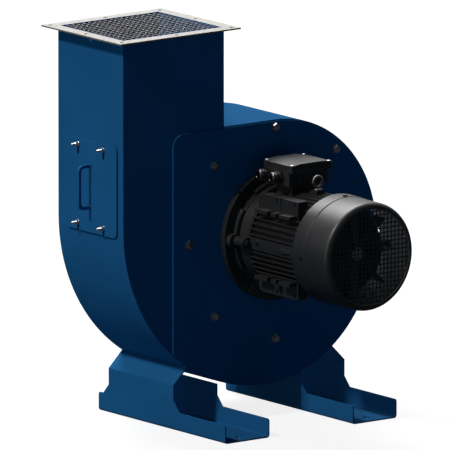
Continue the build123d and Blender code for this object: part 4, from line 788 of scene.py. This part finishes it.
def ringed_metal(name, colour, roughness, scale, depth, bend):
    tree, shader = new_material(name)
    surface = place_group(tree, rings, Scale=scale, Bend=bend)
    tree.links.new(tone_between(tree, surface, colour, *RING_TONES), shader.inputs["Base Color"])
    shader.inputs["Metallic"].default_value = 1.0
    dull = remap(tree, surface.outputs["Height"], roughness - RING_SPREAD, roughness + RING_SPREAD)
    tree.links.new(dull, shader.inputs["Roughness"])
    add_bump(tree, shader, surface, METAL_BUMP, depth)


ringed_metal("machined_steel", TURNED_STEEL, roughness=0.28, scale=900.0, depth=0.00001, bend=0.4)
break_each(("impeller_backplate", "impeller_blades", "impeller_front_ring"), PLATE_EDGE)
break_each(("impeller_hub", "impeller_rivets", "impeller_screw", "shaft_key", "motor_shaft"), PLATE_EDGE)

# Motor flange and drive-end shield
# One iron casting: the flange with its four thinned pockets, the raised ring, the bosses at the
# sides and the lugs that take the end-shield screws. It is painted black over the cast skin.
BLACK = (0.024, 0.024, 0.0245)
# Edge colour: rubbed paint, and a painted highlight along the rims.
BLACK_WORN_AND_HIGHLIT_EDGE = (0.09, 0.09, 0.092)
BLACK_STEEL = (0.045, 0.045, 0.047)
CAST_GLOSS = 0.5
CAST_EDGE = 0.0009
TIE_FLATS = 0.010
TIE_HEAD = 0.004
TIE_WASHER = 0.0016
TIE_WASHER_RADIUS = 0.0062
TIE_SHANK = 0.003
TIE_CHAMFER = 0.0007
FLANGE_PITCH = 0.00175
FLANGE_THREAD = 0.0009
FLANGE_NUT_EDGE = 0.0008
SEAL_EDGE = 0.0005
coated(
    "motor_paint", BLACK, BLACK_WORN_AND_HIGHLIT_EDGE, roughness=0.42, gloss=CAST_GLOSS,
    bump_scale=450.0, bump_depth=0.0001, dusty=0.03,
)
bare_metal("black_steel", BLACK_STEEL, roughness=0.38, scale=900.0, depth=0.00001, metallic=0.6)
break_edges("drive_end_shield", CAST_EDGE)
tie_screw = hex_bolt(
    TIE_FLATS, TIE_HEAD, TIE_WASHER_RADIUS, TIE_WASHER, TIE_SHANK,
    extent("end_shield_screws", "Y"), TIE_CHAMFER,
)
add_copies("hexagon_tie_screws", tie_screw, "end_shield_screws", "-Y")
flange_radius = extent("motor_flange_bolts", "X") / 2
flange_stud = thread(flange_radius, 0.0, extent("motor_flange_bolts", "Y"), FLANGE_PITCH, FLANGE_THREAD)
add_copies("threaded_flange_studs", flange_stud, "motor_flange_bolts", "-Y")
break_edges("motor_flange_nuts", FLANGE_NUT_EDGE)
break_edges("shaft_seal", SEAL_EDGE)

# Inside of the motor
# Laminated stator core with bound copper coils, the rotor with its cast end rings, two ball
# bearings with their shields, and the waved washer that loads the rear one.
CORE_STEEL = (0.30, 0.30, 0.31)
ALUMINIUM = (0.62, 0.62, 0.63)
COPPER = (0.60, 0.26, 0.11)
CORE_EDGE = 0.0004
BEARING_EDGE = 0.0002
bare_metal("core_plate", CORE_STEEL, roughness=0.5, scale=1500.0, depth=0.00005)
bare_metal("cast_aluminium", ALUMINIUM, roughness=0.42, scale=250.0, depth=0.00006)
ringed_metal("copper_wire", COPPER, roughness=0.35, scale=350.0, depth=0.0002, bend=3.0)
break_each(("stator_core", "stator_windings", "rotor_core"), CORE_EDGE)
break_each(("bearing_inner_rings", "bearing_outer_rings", "preload_washer"), BEARING_EDGE)

# Stator frame
# Cast iron barrel with level fins at the sides and upright ones above and below. Three corners
# have two slotted pads over three shelves, each side has a smooth band with a pointed boss, and
# the neck of the box, the eye's seat and three lugs are cast on. All of it is painted black.
BARREL_RADIUS = 0.085
BARREL_BORE = 0.077
RIM_RADIUS = 0.092
RIM_WIDTH = 0.004
BARREL_SIDES = 96
FIN_REACH = 0.095
FIN_SHEET = 0.0024
FIN_FIRST = 0.016
FIN_PITCH = 0.010
FIN_COUNT = 5
FIN_MIDDLE = 0.005
ROOT = 0.003
BAND_RADIUS = 0.0945
BAND_HALF = 0.011
BOSS = (0.088, 0.130)
BOSS_RISE = 0.004
BOSS_REACH = 0.098
NECK = (0.008, 0.056)
NECK_HALF = 0.033
EYE_SEAT = 0.009
LUG_RADIUS = 0.0095
LUG_CIRCLE = 0.102
LUG_LENGTH = 0.008
LUG_SIDES = 40
LUG_TURNS = (0.0, math.pi, 1.5 * math.pi)
PADS = ((0.008, 0.074), (0.0765, 0.1275))
PAD_SIDES = ((-1, 1), (-1, -1), (1, -1))
PAD_INSIDE = 0.052
PAD_FACE = 0.074
PAD_BOTTOM = 0.060
PAD_TOP = 0.092
PAD_CORNERS = (0.013, 0.003)
PAD_SLOT = 0.011
PAD_SLOT_RISE = 0.086
PAD_SLOT_WIDTH = 0.004
PAD_SLOT_LENGTH = 0.009
PAD_SLOT_DEPTH = 0.009
SHELVES = ((0.018, 0.056), (0.067, 0.083), (0.091, 0.124))
SHELF_REACH = 0.092
SHELF_BOTTOM = 0.059
SHELF_TOP = 0.066
EARTH_PLACE = 0.030
EARTH_RISE = 0.004
EARTH_BOSS = 0.0055
EARTH_HEAD = 0.0035
EARTH_REACH = 0.0965
EARTH_HEAD_RISE = 0.0025
EARTH_SIDES = 24
CASTING_EDGE = 0.0005
SIDEWAYS = Matrix(((0, 0, 1, 0), (0, 1, 0, 0), (1, 0, 0, 0), (0, 0, 0, 1)))
frame_low, frame_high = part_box("stator_frame")
frame_length = frame_high.y - frame_low.y


def cast_block(across, rise, along, turn=Matrix.Identity(4)):
    """Block between two values across and up from the shaft, and along it from the drive end."""
    shape = bmesh.new()
    low = Vector((across[0], rise[0], along[0]))
    high = Vector((across[1], rise[1], along[1]))
    size = Matrix.Diagonal((*(high - low), 1.0))
    bmesh.ops.create_cube(shape, size=1.0, matrix=turn @ Matrix.Translation((low + high) / 2) @ size)
    return as_mesh(shape)


def prism(outline, low, high):
    """Closed prism over an outline in X and Y, from low to high along Z."""
    shape = bmesh.new()
    bottom = [shape.verts.new((x, y, low)) for x, y in outline]
    lid = [shape.verts.new((x, y, high)) for x, y in outline]
    shape.faces.new(bottom)
    shape.faces.new(lid)
    for pair in zip(bottom, bottom[1:] + bottom[:1], lid[1:] + lid[:1], lid):
        shape.faces.new(pair)
    return shape


def arc(centre, radius, start, end, steps=8):
    """Points on a circle from one angle to another."""
    turns = [start + (end - start) * step / steps for step in range(steps + 1)]
    return [(centre[0] + radius * math.cos(turn), centre[1] + radius * math.sin(turn)) for turn in turns]


def slotted_pad(start, end, corner):
    """Pad with a round upper front corner, and the slot sunk in its outer face."""
    outline = [(start, PAD_BOTTOM), (end, PAD_BOTTOM), (end, PAD_TOP)]
    outline += arc((start + corner, PAD_TOP - corner), corner, math.pi / 2, math.pi)
    shape = prism(outline, PAD_INSIDE, PAD_FACE)
    middle = Vector((end - PAD_SLOT, PAD_SLOT_RISE, PAD_FACE))
    for way, half in (((1, 0, 0), PAD_SLOT_WIDTH / 2), ((0, 1, 0), PAD_SLOT_LENGTH / 2)):
        for side in (-half, half):
            everything = shape.verts[:] + shape.edges[:] + shape.faces[:]
            bmesh.ops.bisect_plane(
                shape, geom=everything, dist=MERGE, plane_co=middle + side * Vector(way), plane_no=way
            )
    mouth = [face for face in shape.faces if (face.calc_center_median() - middle).length < MERGE]
    floor_faces = bmesh.ops.extrude_discrete_faces(shape, faces=mouth)["faces"]
    floor_verts = [vert for face in floor_faces for vert in face.verts]
    bmesh.ops.translate(shape, verts=floor_verts, vec=(0, 0, -PAD_SLOT_DEPTH))
    bmesh.ops.transform(shape, matrix=SIDEWAYS, verts=shape.verts)
    return as_mesh(shape)


def on_shaft(start):
    """Stand a shape on the shaft, with its foot at this place and its top towards the cowl."""
    return Matrix.Translation((SHAFT_X, start, SHAFT_Z)) @ FACE_TURNS["-Y"]


def across_fins(offset):
    """Root and tip of a fin whose plane lies this far from the shaft."""
    root = math.sqrt(BARREL_RADIUS ** 2 - offset ** 2) - ROOT
    return root, math.sqrt(FIN_REACH ** 2 - offset ** 2)


castings = [as_mesh(lathe((
    (BARREL_BORE, 0.0), (RIM_RADIUS, 0.0), (RIM_RADIUS, RIM_WIDTH), (BARREL_RADIUS, RIM_WIDTH),
    (BARREL_RADIUS, frame_length - RIM_WIDTH), (RIM_RADIUS, frame_length - RIM_WIDTH),
    (RIM_RADIUS, frame_length), (BARREL_BORE, frame_length),
), BARREL_SIDES))]
between_rims = (RIM_WIDTH - ROOT, frame_length - RIM_WIDTH + ROOT)
fin_half = FIN_SHEET / 2
fin_offsets = [FIN_FIRST + step * FIN_PITCH for step in range(FIN_COUNT)]
fin_places = [(offset, range(4)) for offset in fin_offsets + [-offset for offset in fin_offsets]]
fin_places += [(offset, (1, 3)) for offset in (-FIN_MIDDLE, FIN_MIDDLE)]
for offset, quarters in fin_places:
    for quarter in quarters:
        turn = Matrix.Rotation(quarter * math.pi / 2, 4, "Z")
        rise = (offset - fin_half, offset + fin_half)
        castings.append(cast_block(across_fins(offset), rise, between_rims, turn))
half_turn = math.asin(BAND_HALF / BAND_RADIUS)
band = arc((0.0, 0.0), BAND_RADIUS, -half_turn, half_turn)
band += [(BARREL_RADIUS - ROOT, BAND_HALF), (BARREL_RADIUS - ROOT, -BAND_HALF)]
boss_half = (BOSS[1] - BOSS[0]) / 2
boss_radius = (boss_half ** 2 + BOSS_RISE ** 2) / (2 * BOSS_RISE)
boss_turn = math.asin(boss_half / boss_radius)
boss_middle = (BOSS[0] + BOSS[1]) / 2
boss = arc(
    (boss_middle, BOSS_RISE - boss_radius), boss_radius, math.pi / 2 + boss_turn, math.pi / 2 - boss_turn
)
boss += arc(
    (boss_middle, boss_radius - BOSS_RISE), boss_radius, boss_turn - math.pi / 2, -boss_turn - math.pi / 2
)[1:-1]
for side in (0.0, math.pi):
    turn = Matrix.Rotation(side, 4, "Z")
    smooth_band = prism(band, 0.0, frame_length)
    bmesh.ops.transform(smooth_band, matrix=turn, verts=smooth_band.verts)
    pointed_boss = prism(boss, BARREL_RADIUS, BOSS_REACH)
    bmesh.ops.transform(pointed_boss, matrix=turn @ SIDEWAYS, verts=pointed_boss.verts)
    castings += [as_mesh(smooth_band), as_mesh(pointed_boss)]
for side in LUG_TURNS:
    turn = Matrix.Rotation(side, 4, "Z")
    lug = bmesh.new()
    place = turn @ Matrix.Translation((LUG_CIRCLE, 0, LUG_LENGTH / 2))
    add_bar(lug, LUG_RADIUS, LUG_LENGTH, place, sides=LUG_SIDES)
    bridge = cast_block((BARREL_RADIUS, LUG_CIRCLE), (-LUG_RADIUS, LUG_RADIUS), (0.0, LUG_LENGTH), turn)
    castings += [as_mesh(lug), bridge]
neck_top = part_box("terminal_box")[0].z - SHAFT_Z
castings.append(cast_block((-NECK_HALF, NECK_HALF), (BARREL_RADIUS - ROOT, neck_top), NECK))
eye_seat_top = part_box("lifting_eye")[0].z - SHAFT_Z
eye_seat_place = frame_high.y - sum(corner.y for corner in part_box("lifting_eye")) / 2
eye_seat = (eye_seat_place - EYE_SEAT, eye_seat_place + EYE_SEAT)
castings.append(cast_block((-EYE_SEAT, EYE_SEAT), (BARREL_RADIUS - ROOT, eye_seat_top), eye_seat))
corner_parts = [slotted_pad(*ends, corner) for ends, corner in zip(PADS, PAD_CORNERS)]
for shelf in SHELVES:
    corner_parts.append(cast_block((PAD_INSIDE, SHELF_REACH), (SHELF_BOTTOM, SHELF_TOP), shelf))
corners = [Matrix.Diagonal((across, rise, 1, 1)) for across, rise in PAD_SIDES]
castings.append(place_copies(joined(*corner_parts), corners, "corner_parts"))
shape = bmesh.new()
for radius, reach in ((EARTH_BOSS, EARTH_REACH), (EARTH_HEAD, EARTH_REACH + EARTH_HEAD_RISE)):
    length = reach - BARREL_RADIUS
    middle = Matrix.Translation((-(BARREL_RADIUS + reach) / 2, EARTH_RISE, EARTH_PLACE))
    add_bar(shape, radius, length, middle @ Matrix.Rotation(math.pi / 2, 4, "Y"), sides=EARTH_SIDES)
castings.append(as_mesh(shape))
shape = bmesh.new()
shape.from_mesh(joined(*castings))
bmesh.ops.recalc_face_normals(shape, faces=shape.faces)
bmesh.ops.transform(shape, matrix=on_shaft(frame_high.y), verts=shape.verts)
frame_piece = add_piece("finned_frame", as_mesh(shape, "finned_frame"), ("stator_frame",))
round_edges(frame_piece, CASTING_EDGE)
break_edges("fan_end_shield", CAST_EDGE)

# Cooling fan
# Moulded black fan with straight blades, pressed on the end of the shaft and held by a ring.
FAN_BLACK = (0.02, 0.02, 0.021)
FAN_EDGE = 0.0006
CLIP_EDGE = 0.0002
# Its edges are twice as light: wear, and a painted edge highlight.
coated(
    "fan_plastic", FAN_BLACK, shade(FAN_BLACK, 2.0), roughness=0.5, gloss=0.5,
    bump_scale=300.0, bump_depth=0.00004, dusty=0.08,
)
break_edges("cooling_fan", FAN_EDGE)
break_edges("fan_clip", CLIP_EDGE)

# Fan cowl
# Deep-drawn sheet, painted black: a straight front part, a small step, and a rounded lip that
# turns in to the grille's opening. Four screws fix it to the arms of the rear shield.
COWL_SHEET = 0.0015
COWL_STEP = 0.0015
COWL_FRONT = 0.032
COWL_LIP = 0.010
COWL_OPENING = 0.0905
COWL_SIDES = 128
LIP_STEPS = 10
COWL_EDGE = 0.0006
COWL_SCREW_EDGE = 0.0006
GRILLE_EDGE = 0.0003
PRIMER = (0.34, 0.34, 0.35)
PRIMED_FACING = (-0.9, -0.6)
for name in ("cowl_paint", "cowl_coat"):
    coated(
        name, BLACK, BLACK_WORN_AND_HIGHLIT_EDGE, roughness=0.40, gloss=CAST_GLOSS,
        bump_scale=1200.0, bump_depth=0.00002, dusty=0.02,
    )

# The inside of the cowl has only a grey primer: what faces the shaft is pale.
coat_tree = FINISH["cowl_coat"].node_tree
coat_place = new_node(coat_tree, "ShaderNodeTexCoord")
coat_centre = new_node(coat_tree, "ShaderNodeMapping")
coat_centre.inputs["Location"].default_value = (-SHAFT_X, 0.0, -SHAFT_Z)
coat_centre.inputs["Scale"].default_value = (1.0, 0.0, 1.0)
coat_tree.links.new(coat_place.outputs["Object"], coat_centre.inputs["Vector"])
coat_out = new_node(coat_tree, "ShaderNodeVectorMath", "NORMALIZE")
coat_tree.links.new(coat_centre.outputs[0], coat_out.inputs[0])
coat_normal = new_node(coat_tree, "ShaderNodeNewGeometry")
coat_facing = towards(coat_tree, coat_out.outputs[0], coat_normal.outputs["Normal"])
inside = remap(coat_tree, coat_facing, 1.0, 0.0, *PRIMED_FACING)
coat_shader = coat_tree.nodes["Principled BSDF"]
coat_colour = coat_shader.inputs["Base Color"].links[0].from_socket
coat_tree.links.new(mix_colour(coat_tree, inside, coat_colour, PRIMER), coat_shader.inputs["Base Color"])

cowl_low, cowl_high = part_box("fan_cowl")
cowl_radius = (cowl_high.x - cowl_low.x) / 2
cowl_length = cowl_high.y - cowl_low.y


def cowl_section(inset):
    """Outline of one face of the sheet from the front edge to the grille's opening."""
    rear = cowl_radius - COWL_STEP - inset
    lip = COWL_LIP - inset
    top = cowl_length - inset
    points = [(cowl_radius - inset, 0.0), (cowl_radius - inset, COWL_FRONT), (rear, COWL_FRONT + COWL_STEP)]
    points += arc((rear - lip, top - lip), lip, 0.0, math.pi / 2, LIP_STEPS)
    return points + [(COWL_OPENING, top)]


shape = lathe(cowl_section(0.0) + cowl_section(COWL_SHEET)[::-1], COWL_SIDES)
bmesh.ops.transform(shape, matrix=on_shaft(cowl_high.y), verts=shape.verts)
cowl = add_piece("drawn_cowl", as_mesh(shape, "drawn_cowl"), ("fan_cowl",), FINISH["cowl_coat"])
round_edges(cowl, COWL_EDGE)
break_edges("cowl_grille", GRILLE_EDGE, FINISH["cowl_paint"])
break_edges("cowl_screws", COWL_SCREW_EDGE)

# Terminal box
# Cast box with a deeper rim, a rubber gasket and a lid whose sides slope, held by four screws.
# Inside, a moulded board carries six brass studs.
LID_EDGE = 0.0008
LID_SCREW_HEAD = 0.0035
LID_SCREW_HEIGHT = 0.003
LID_SCREW_SHANK = 0.002
LID_SCREW_CROWN = ((0.0, 0.001), (0.0004, 0.0004), (0.0012, 0.0))
INNER_EDGE = 0.0003
BOARD = (0.12, 0.075, 0.045)
# Edge colour: worn moulding, and a painted edge highlight.
BOARD_WORN_AND_HIGHLIT_EDGE = (0.2, 0.14, 0.09)
BRASS = (0.75, 0.55, 0.22)
coated(
    "board_plastic", BOARD, BOARD_WORN_AND_HIGHLIT_EDGE, roughness=0.5, gloss=0.5,
    bump_scale=300.0, bump_depth=0.00003, dusty=0.05,
)
bare_metal("stud_brass", BRASS, roughness=0.3, scale=900.0, depth=0.00001)
break_each(("terminal_box", "terminal_box_lid"), LID_EDGE)
break_each(("terminal_box_gasket", "terminal_board", "terminal_studs", "blanking_plug"), INNER_EDGE)

screw_length = extent("terminal_box_screws", "Z")
head_start = screw_length - LID_SCREW_HEIGHT
outline = [(0.0, head_start), (LID_SCREW_HEAD, head_start)]
outline += [(LID_SCREW_HEAD - inward, screw_length - down) for inward, down in LID_SCREW_CROWN]
lid_head = as_mesh(lathe(outline + [(0.0, screw_length)]))
lid_screw = joined(lid_head, thread(LID_SCREW_SHANK, 0.0, head_start))
add_copies("lid_screws", lid_screw, "terminal_box_screws", "+Z")

# Cable glands
# Two plated brass glands in the left wall: hexagon against the box, neck, and a domed nut with
# grip ribs, open at the end where a cable would go in.
GLAND_FLATS = 0.021
GLAND_HEX = 0.006
GLAND_NECK = 0.003
GLAND_NECK_RADIUS = 0.009
GLAND_RADIUS = 0.0105
GLAND_BORE = 0.005
GLAND_HOLE = 0.008
GLAND_ROUND = 0.004
GLAND_STEPS = 6
GLAND_SIDES = 64
GLAND_OVERLAP = 0.001
GLAND_LIP = 0.0003
GLAND_CHAMFER = 0.0005
GLAND_HEX_CHAMFER = 0.0008
RIB_COUNT = 16
RIB_RADIUS = 0.0007
RIB_SIDES = 8
RIB_END = 0.0005
GLAND_GREY = (0.14, 0.14, 0.145)
bare_metal("gland_metal", GLAND_GREY, roughness=0.3, scale=900.0, depth=0.00001)
gland_length = extent("cable_glands", "X")
box_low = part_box("terminal_box")[0]
gland_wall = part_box("cable_glands")[1].x - box_low.x
neck_start = gland_wall + GLAND_HEX
dome_start = neck_start + GLAND_NECK
outline = [
    (GLAND_BORE, 0.0), (GLAND_HOLE, 0.0), (GLAND_HOLE, gland_wall + GLAND_OVERLAP),
    (GLAND_NECK_RADIUS, gland_wall + GLAND_OVERLAP), (GLAND_NECK_RADIUS, dome_start),
    (GLAND_RADIUS, dome_start + GLAND_LIP),
]
dome_middle = (GLAND_RADIUS - GLAND_ROUND, gland_length - GLAND_ROUND)
outline += arc(dome_middle, GLAND_ROUND, 0.0, math.pi / 2, GLAND_STEPS)
outline += [(GLAND_BORE + GLAND_CHAMFER, gland_length), (GLAND_BORE, gland_length - GLAND_CHAMFER)]
gland_body = as_mesh(lathe(outline, GLAND_SIDES))
shape = bmesh.new()
rib_length = gland_length - GLAND_ROUND - dome_start - 2 * RIB_END
rib_middle = dome_start + RIB_END + rib_length / 2
for rib in range(RIB_COUNT):
    around = Matrix.Rotation(2 * math.pi * rib / RIB_COUNT, 4, "Z")
    out = Matrix.Translation((GLAND_RADIUS - RIB_RADIUS / 2, 0.0, rib_middle))
    add_bar(shape, RIB_RADIUS, rib_length, around @ out, sides=RIB_SIDES)
gland_hex = hexagon(GLAND_FLATS, gland_wall, neck_start, GLAND_HEX_CHAMFER)
gland = joined(gland_body, gland_hex, as_mesh(shape))
add_copies("ribbed_glands", gland, "cable_glands", "-X")

# Lifting eye
# Forged eye bolt, zinc plated, screwed down on a flat seat of the frame with its ring across
# the shaft. The ring runs into the collar without an edge.
EYE_ROD = 0.0032
EYE_COLLAR = 0.008
EYE_COLLAR_HEIGHT = 0.003
EYE_FOOT_CHAMFER = 0.0005
EYE_RIM_CHAMFER = 0.001
EYE_FLARE = (0.001, 0.0008)
EYE_NECK = 0.003
EYE_SIDES = 20
EYE_STEPS = 64
EYE_VOXEL = 0.0005
EYE_EASING = 0.5
EYE_GREY = (0.22, 0.22, 0.225)
eye_low, eye_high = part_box("lifting_eye")
eye_middle = (eye_low + eye_high) / 2
ring_radius = (eye_high.x - eye_low.x) / 2 - EYE_ROD
rod_top = EYE_COLLAR_HEIGHT + EYE_NECK
shape = lathe((
    (0.0, 0.0), (EYE_COLLAR - EYE_FOOT_CHAMFER, 0.0), (EYE_COLLAR, EYE_FOOT_CHAMFER),
    (EYE_COLLAR, EYE_COLLAR_HEIGHT - EYE_RIM_CHAMFER),
    (EYE_COLLAR - EYE_RIM_CHAMFER, EYE_COLLAR_HEIGHT),
    (EYE_ROD + EYE_FLARE[0], EYE_COLLAR_HEIGHT + EYE_FLARE[1]),
    (EYE_ROD, rod_top), (0.0, rod_top),
))
bmesh.ops.translate(shape, verts=shape.verts, vec=(eye_middle.x, eye_middle.y, eye_low.z))
collar = as_mesh(shape)
shape = bmesh.new()
section = bmesh.ops.create_circle(shape, segments=EYE_SIDES, radius=EYE_ROD)["verts"]
bmesh.ops.translate(shape, verts=section, vec=(ring_radius, 0.0, 0.0))
bmesh.ops.rotate(shape, verts=section, cent=(0, 0, 0), matrix=Matrix.Rotation(math.pi / 2, 3, "X"))
bmesh.ops.spin(
    shape, geom=shape.verts[:] + shape.edges[:], cent=(0, 0, 0), axis=(0, 0, 1), dvec=(0, 0, 0),
    angle=2 * math.pi, space=Matrix(), steps=EYE_STEPS, use_merge=True,
    use_normal_flip=False, use_duplicate=False,
)
bmesh.ops.remove_doubles(shape, verts=shape.verts, dist=MERGE)
bmesh.ops.recalc_face_normals(shape, faces=shape.faces)
stand = Matrix.Translation((eye_middle.x, eye_middle.y, eye_high.z - EYE_ROD - ring_radius))
bmesh.ops.transform(shape, matrix=stand @ FACE_TURNS["-Y"], verts=shape.verts)
bare_metal("eye_metal", EYE_GREY, roughness=0.32, scale=600.0, depth=0.00002)
eye = add_piece("forged_eye", joined(collar, as_mesh(shape)), ("lifting_eye",), FINISH["eye_metal"])
eye.data.name = "forged_eye"
forging = eye.modifiers.new("forging", "REMESH")
forging.mode = "VOXEL"
forging.voxel_size = EYE_VOXEL
forging.use_smooth_shade = True
easing = eye.modifiers.new("easing", "SMOOTH")
easing.factor = EYE_EASING
easing.iterations = 4
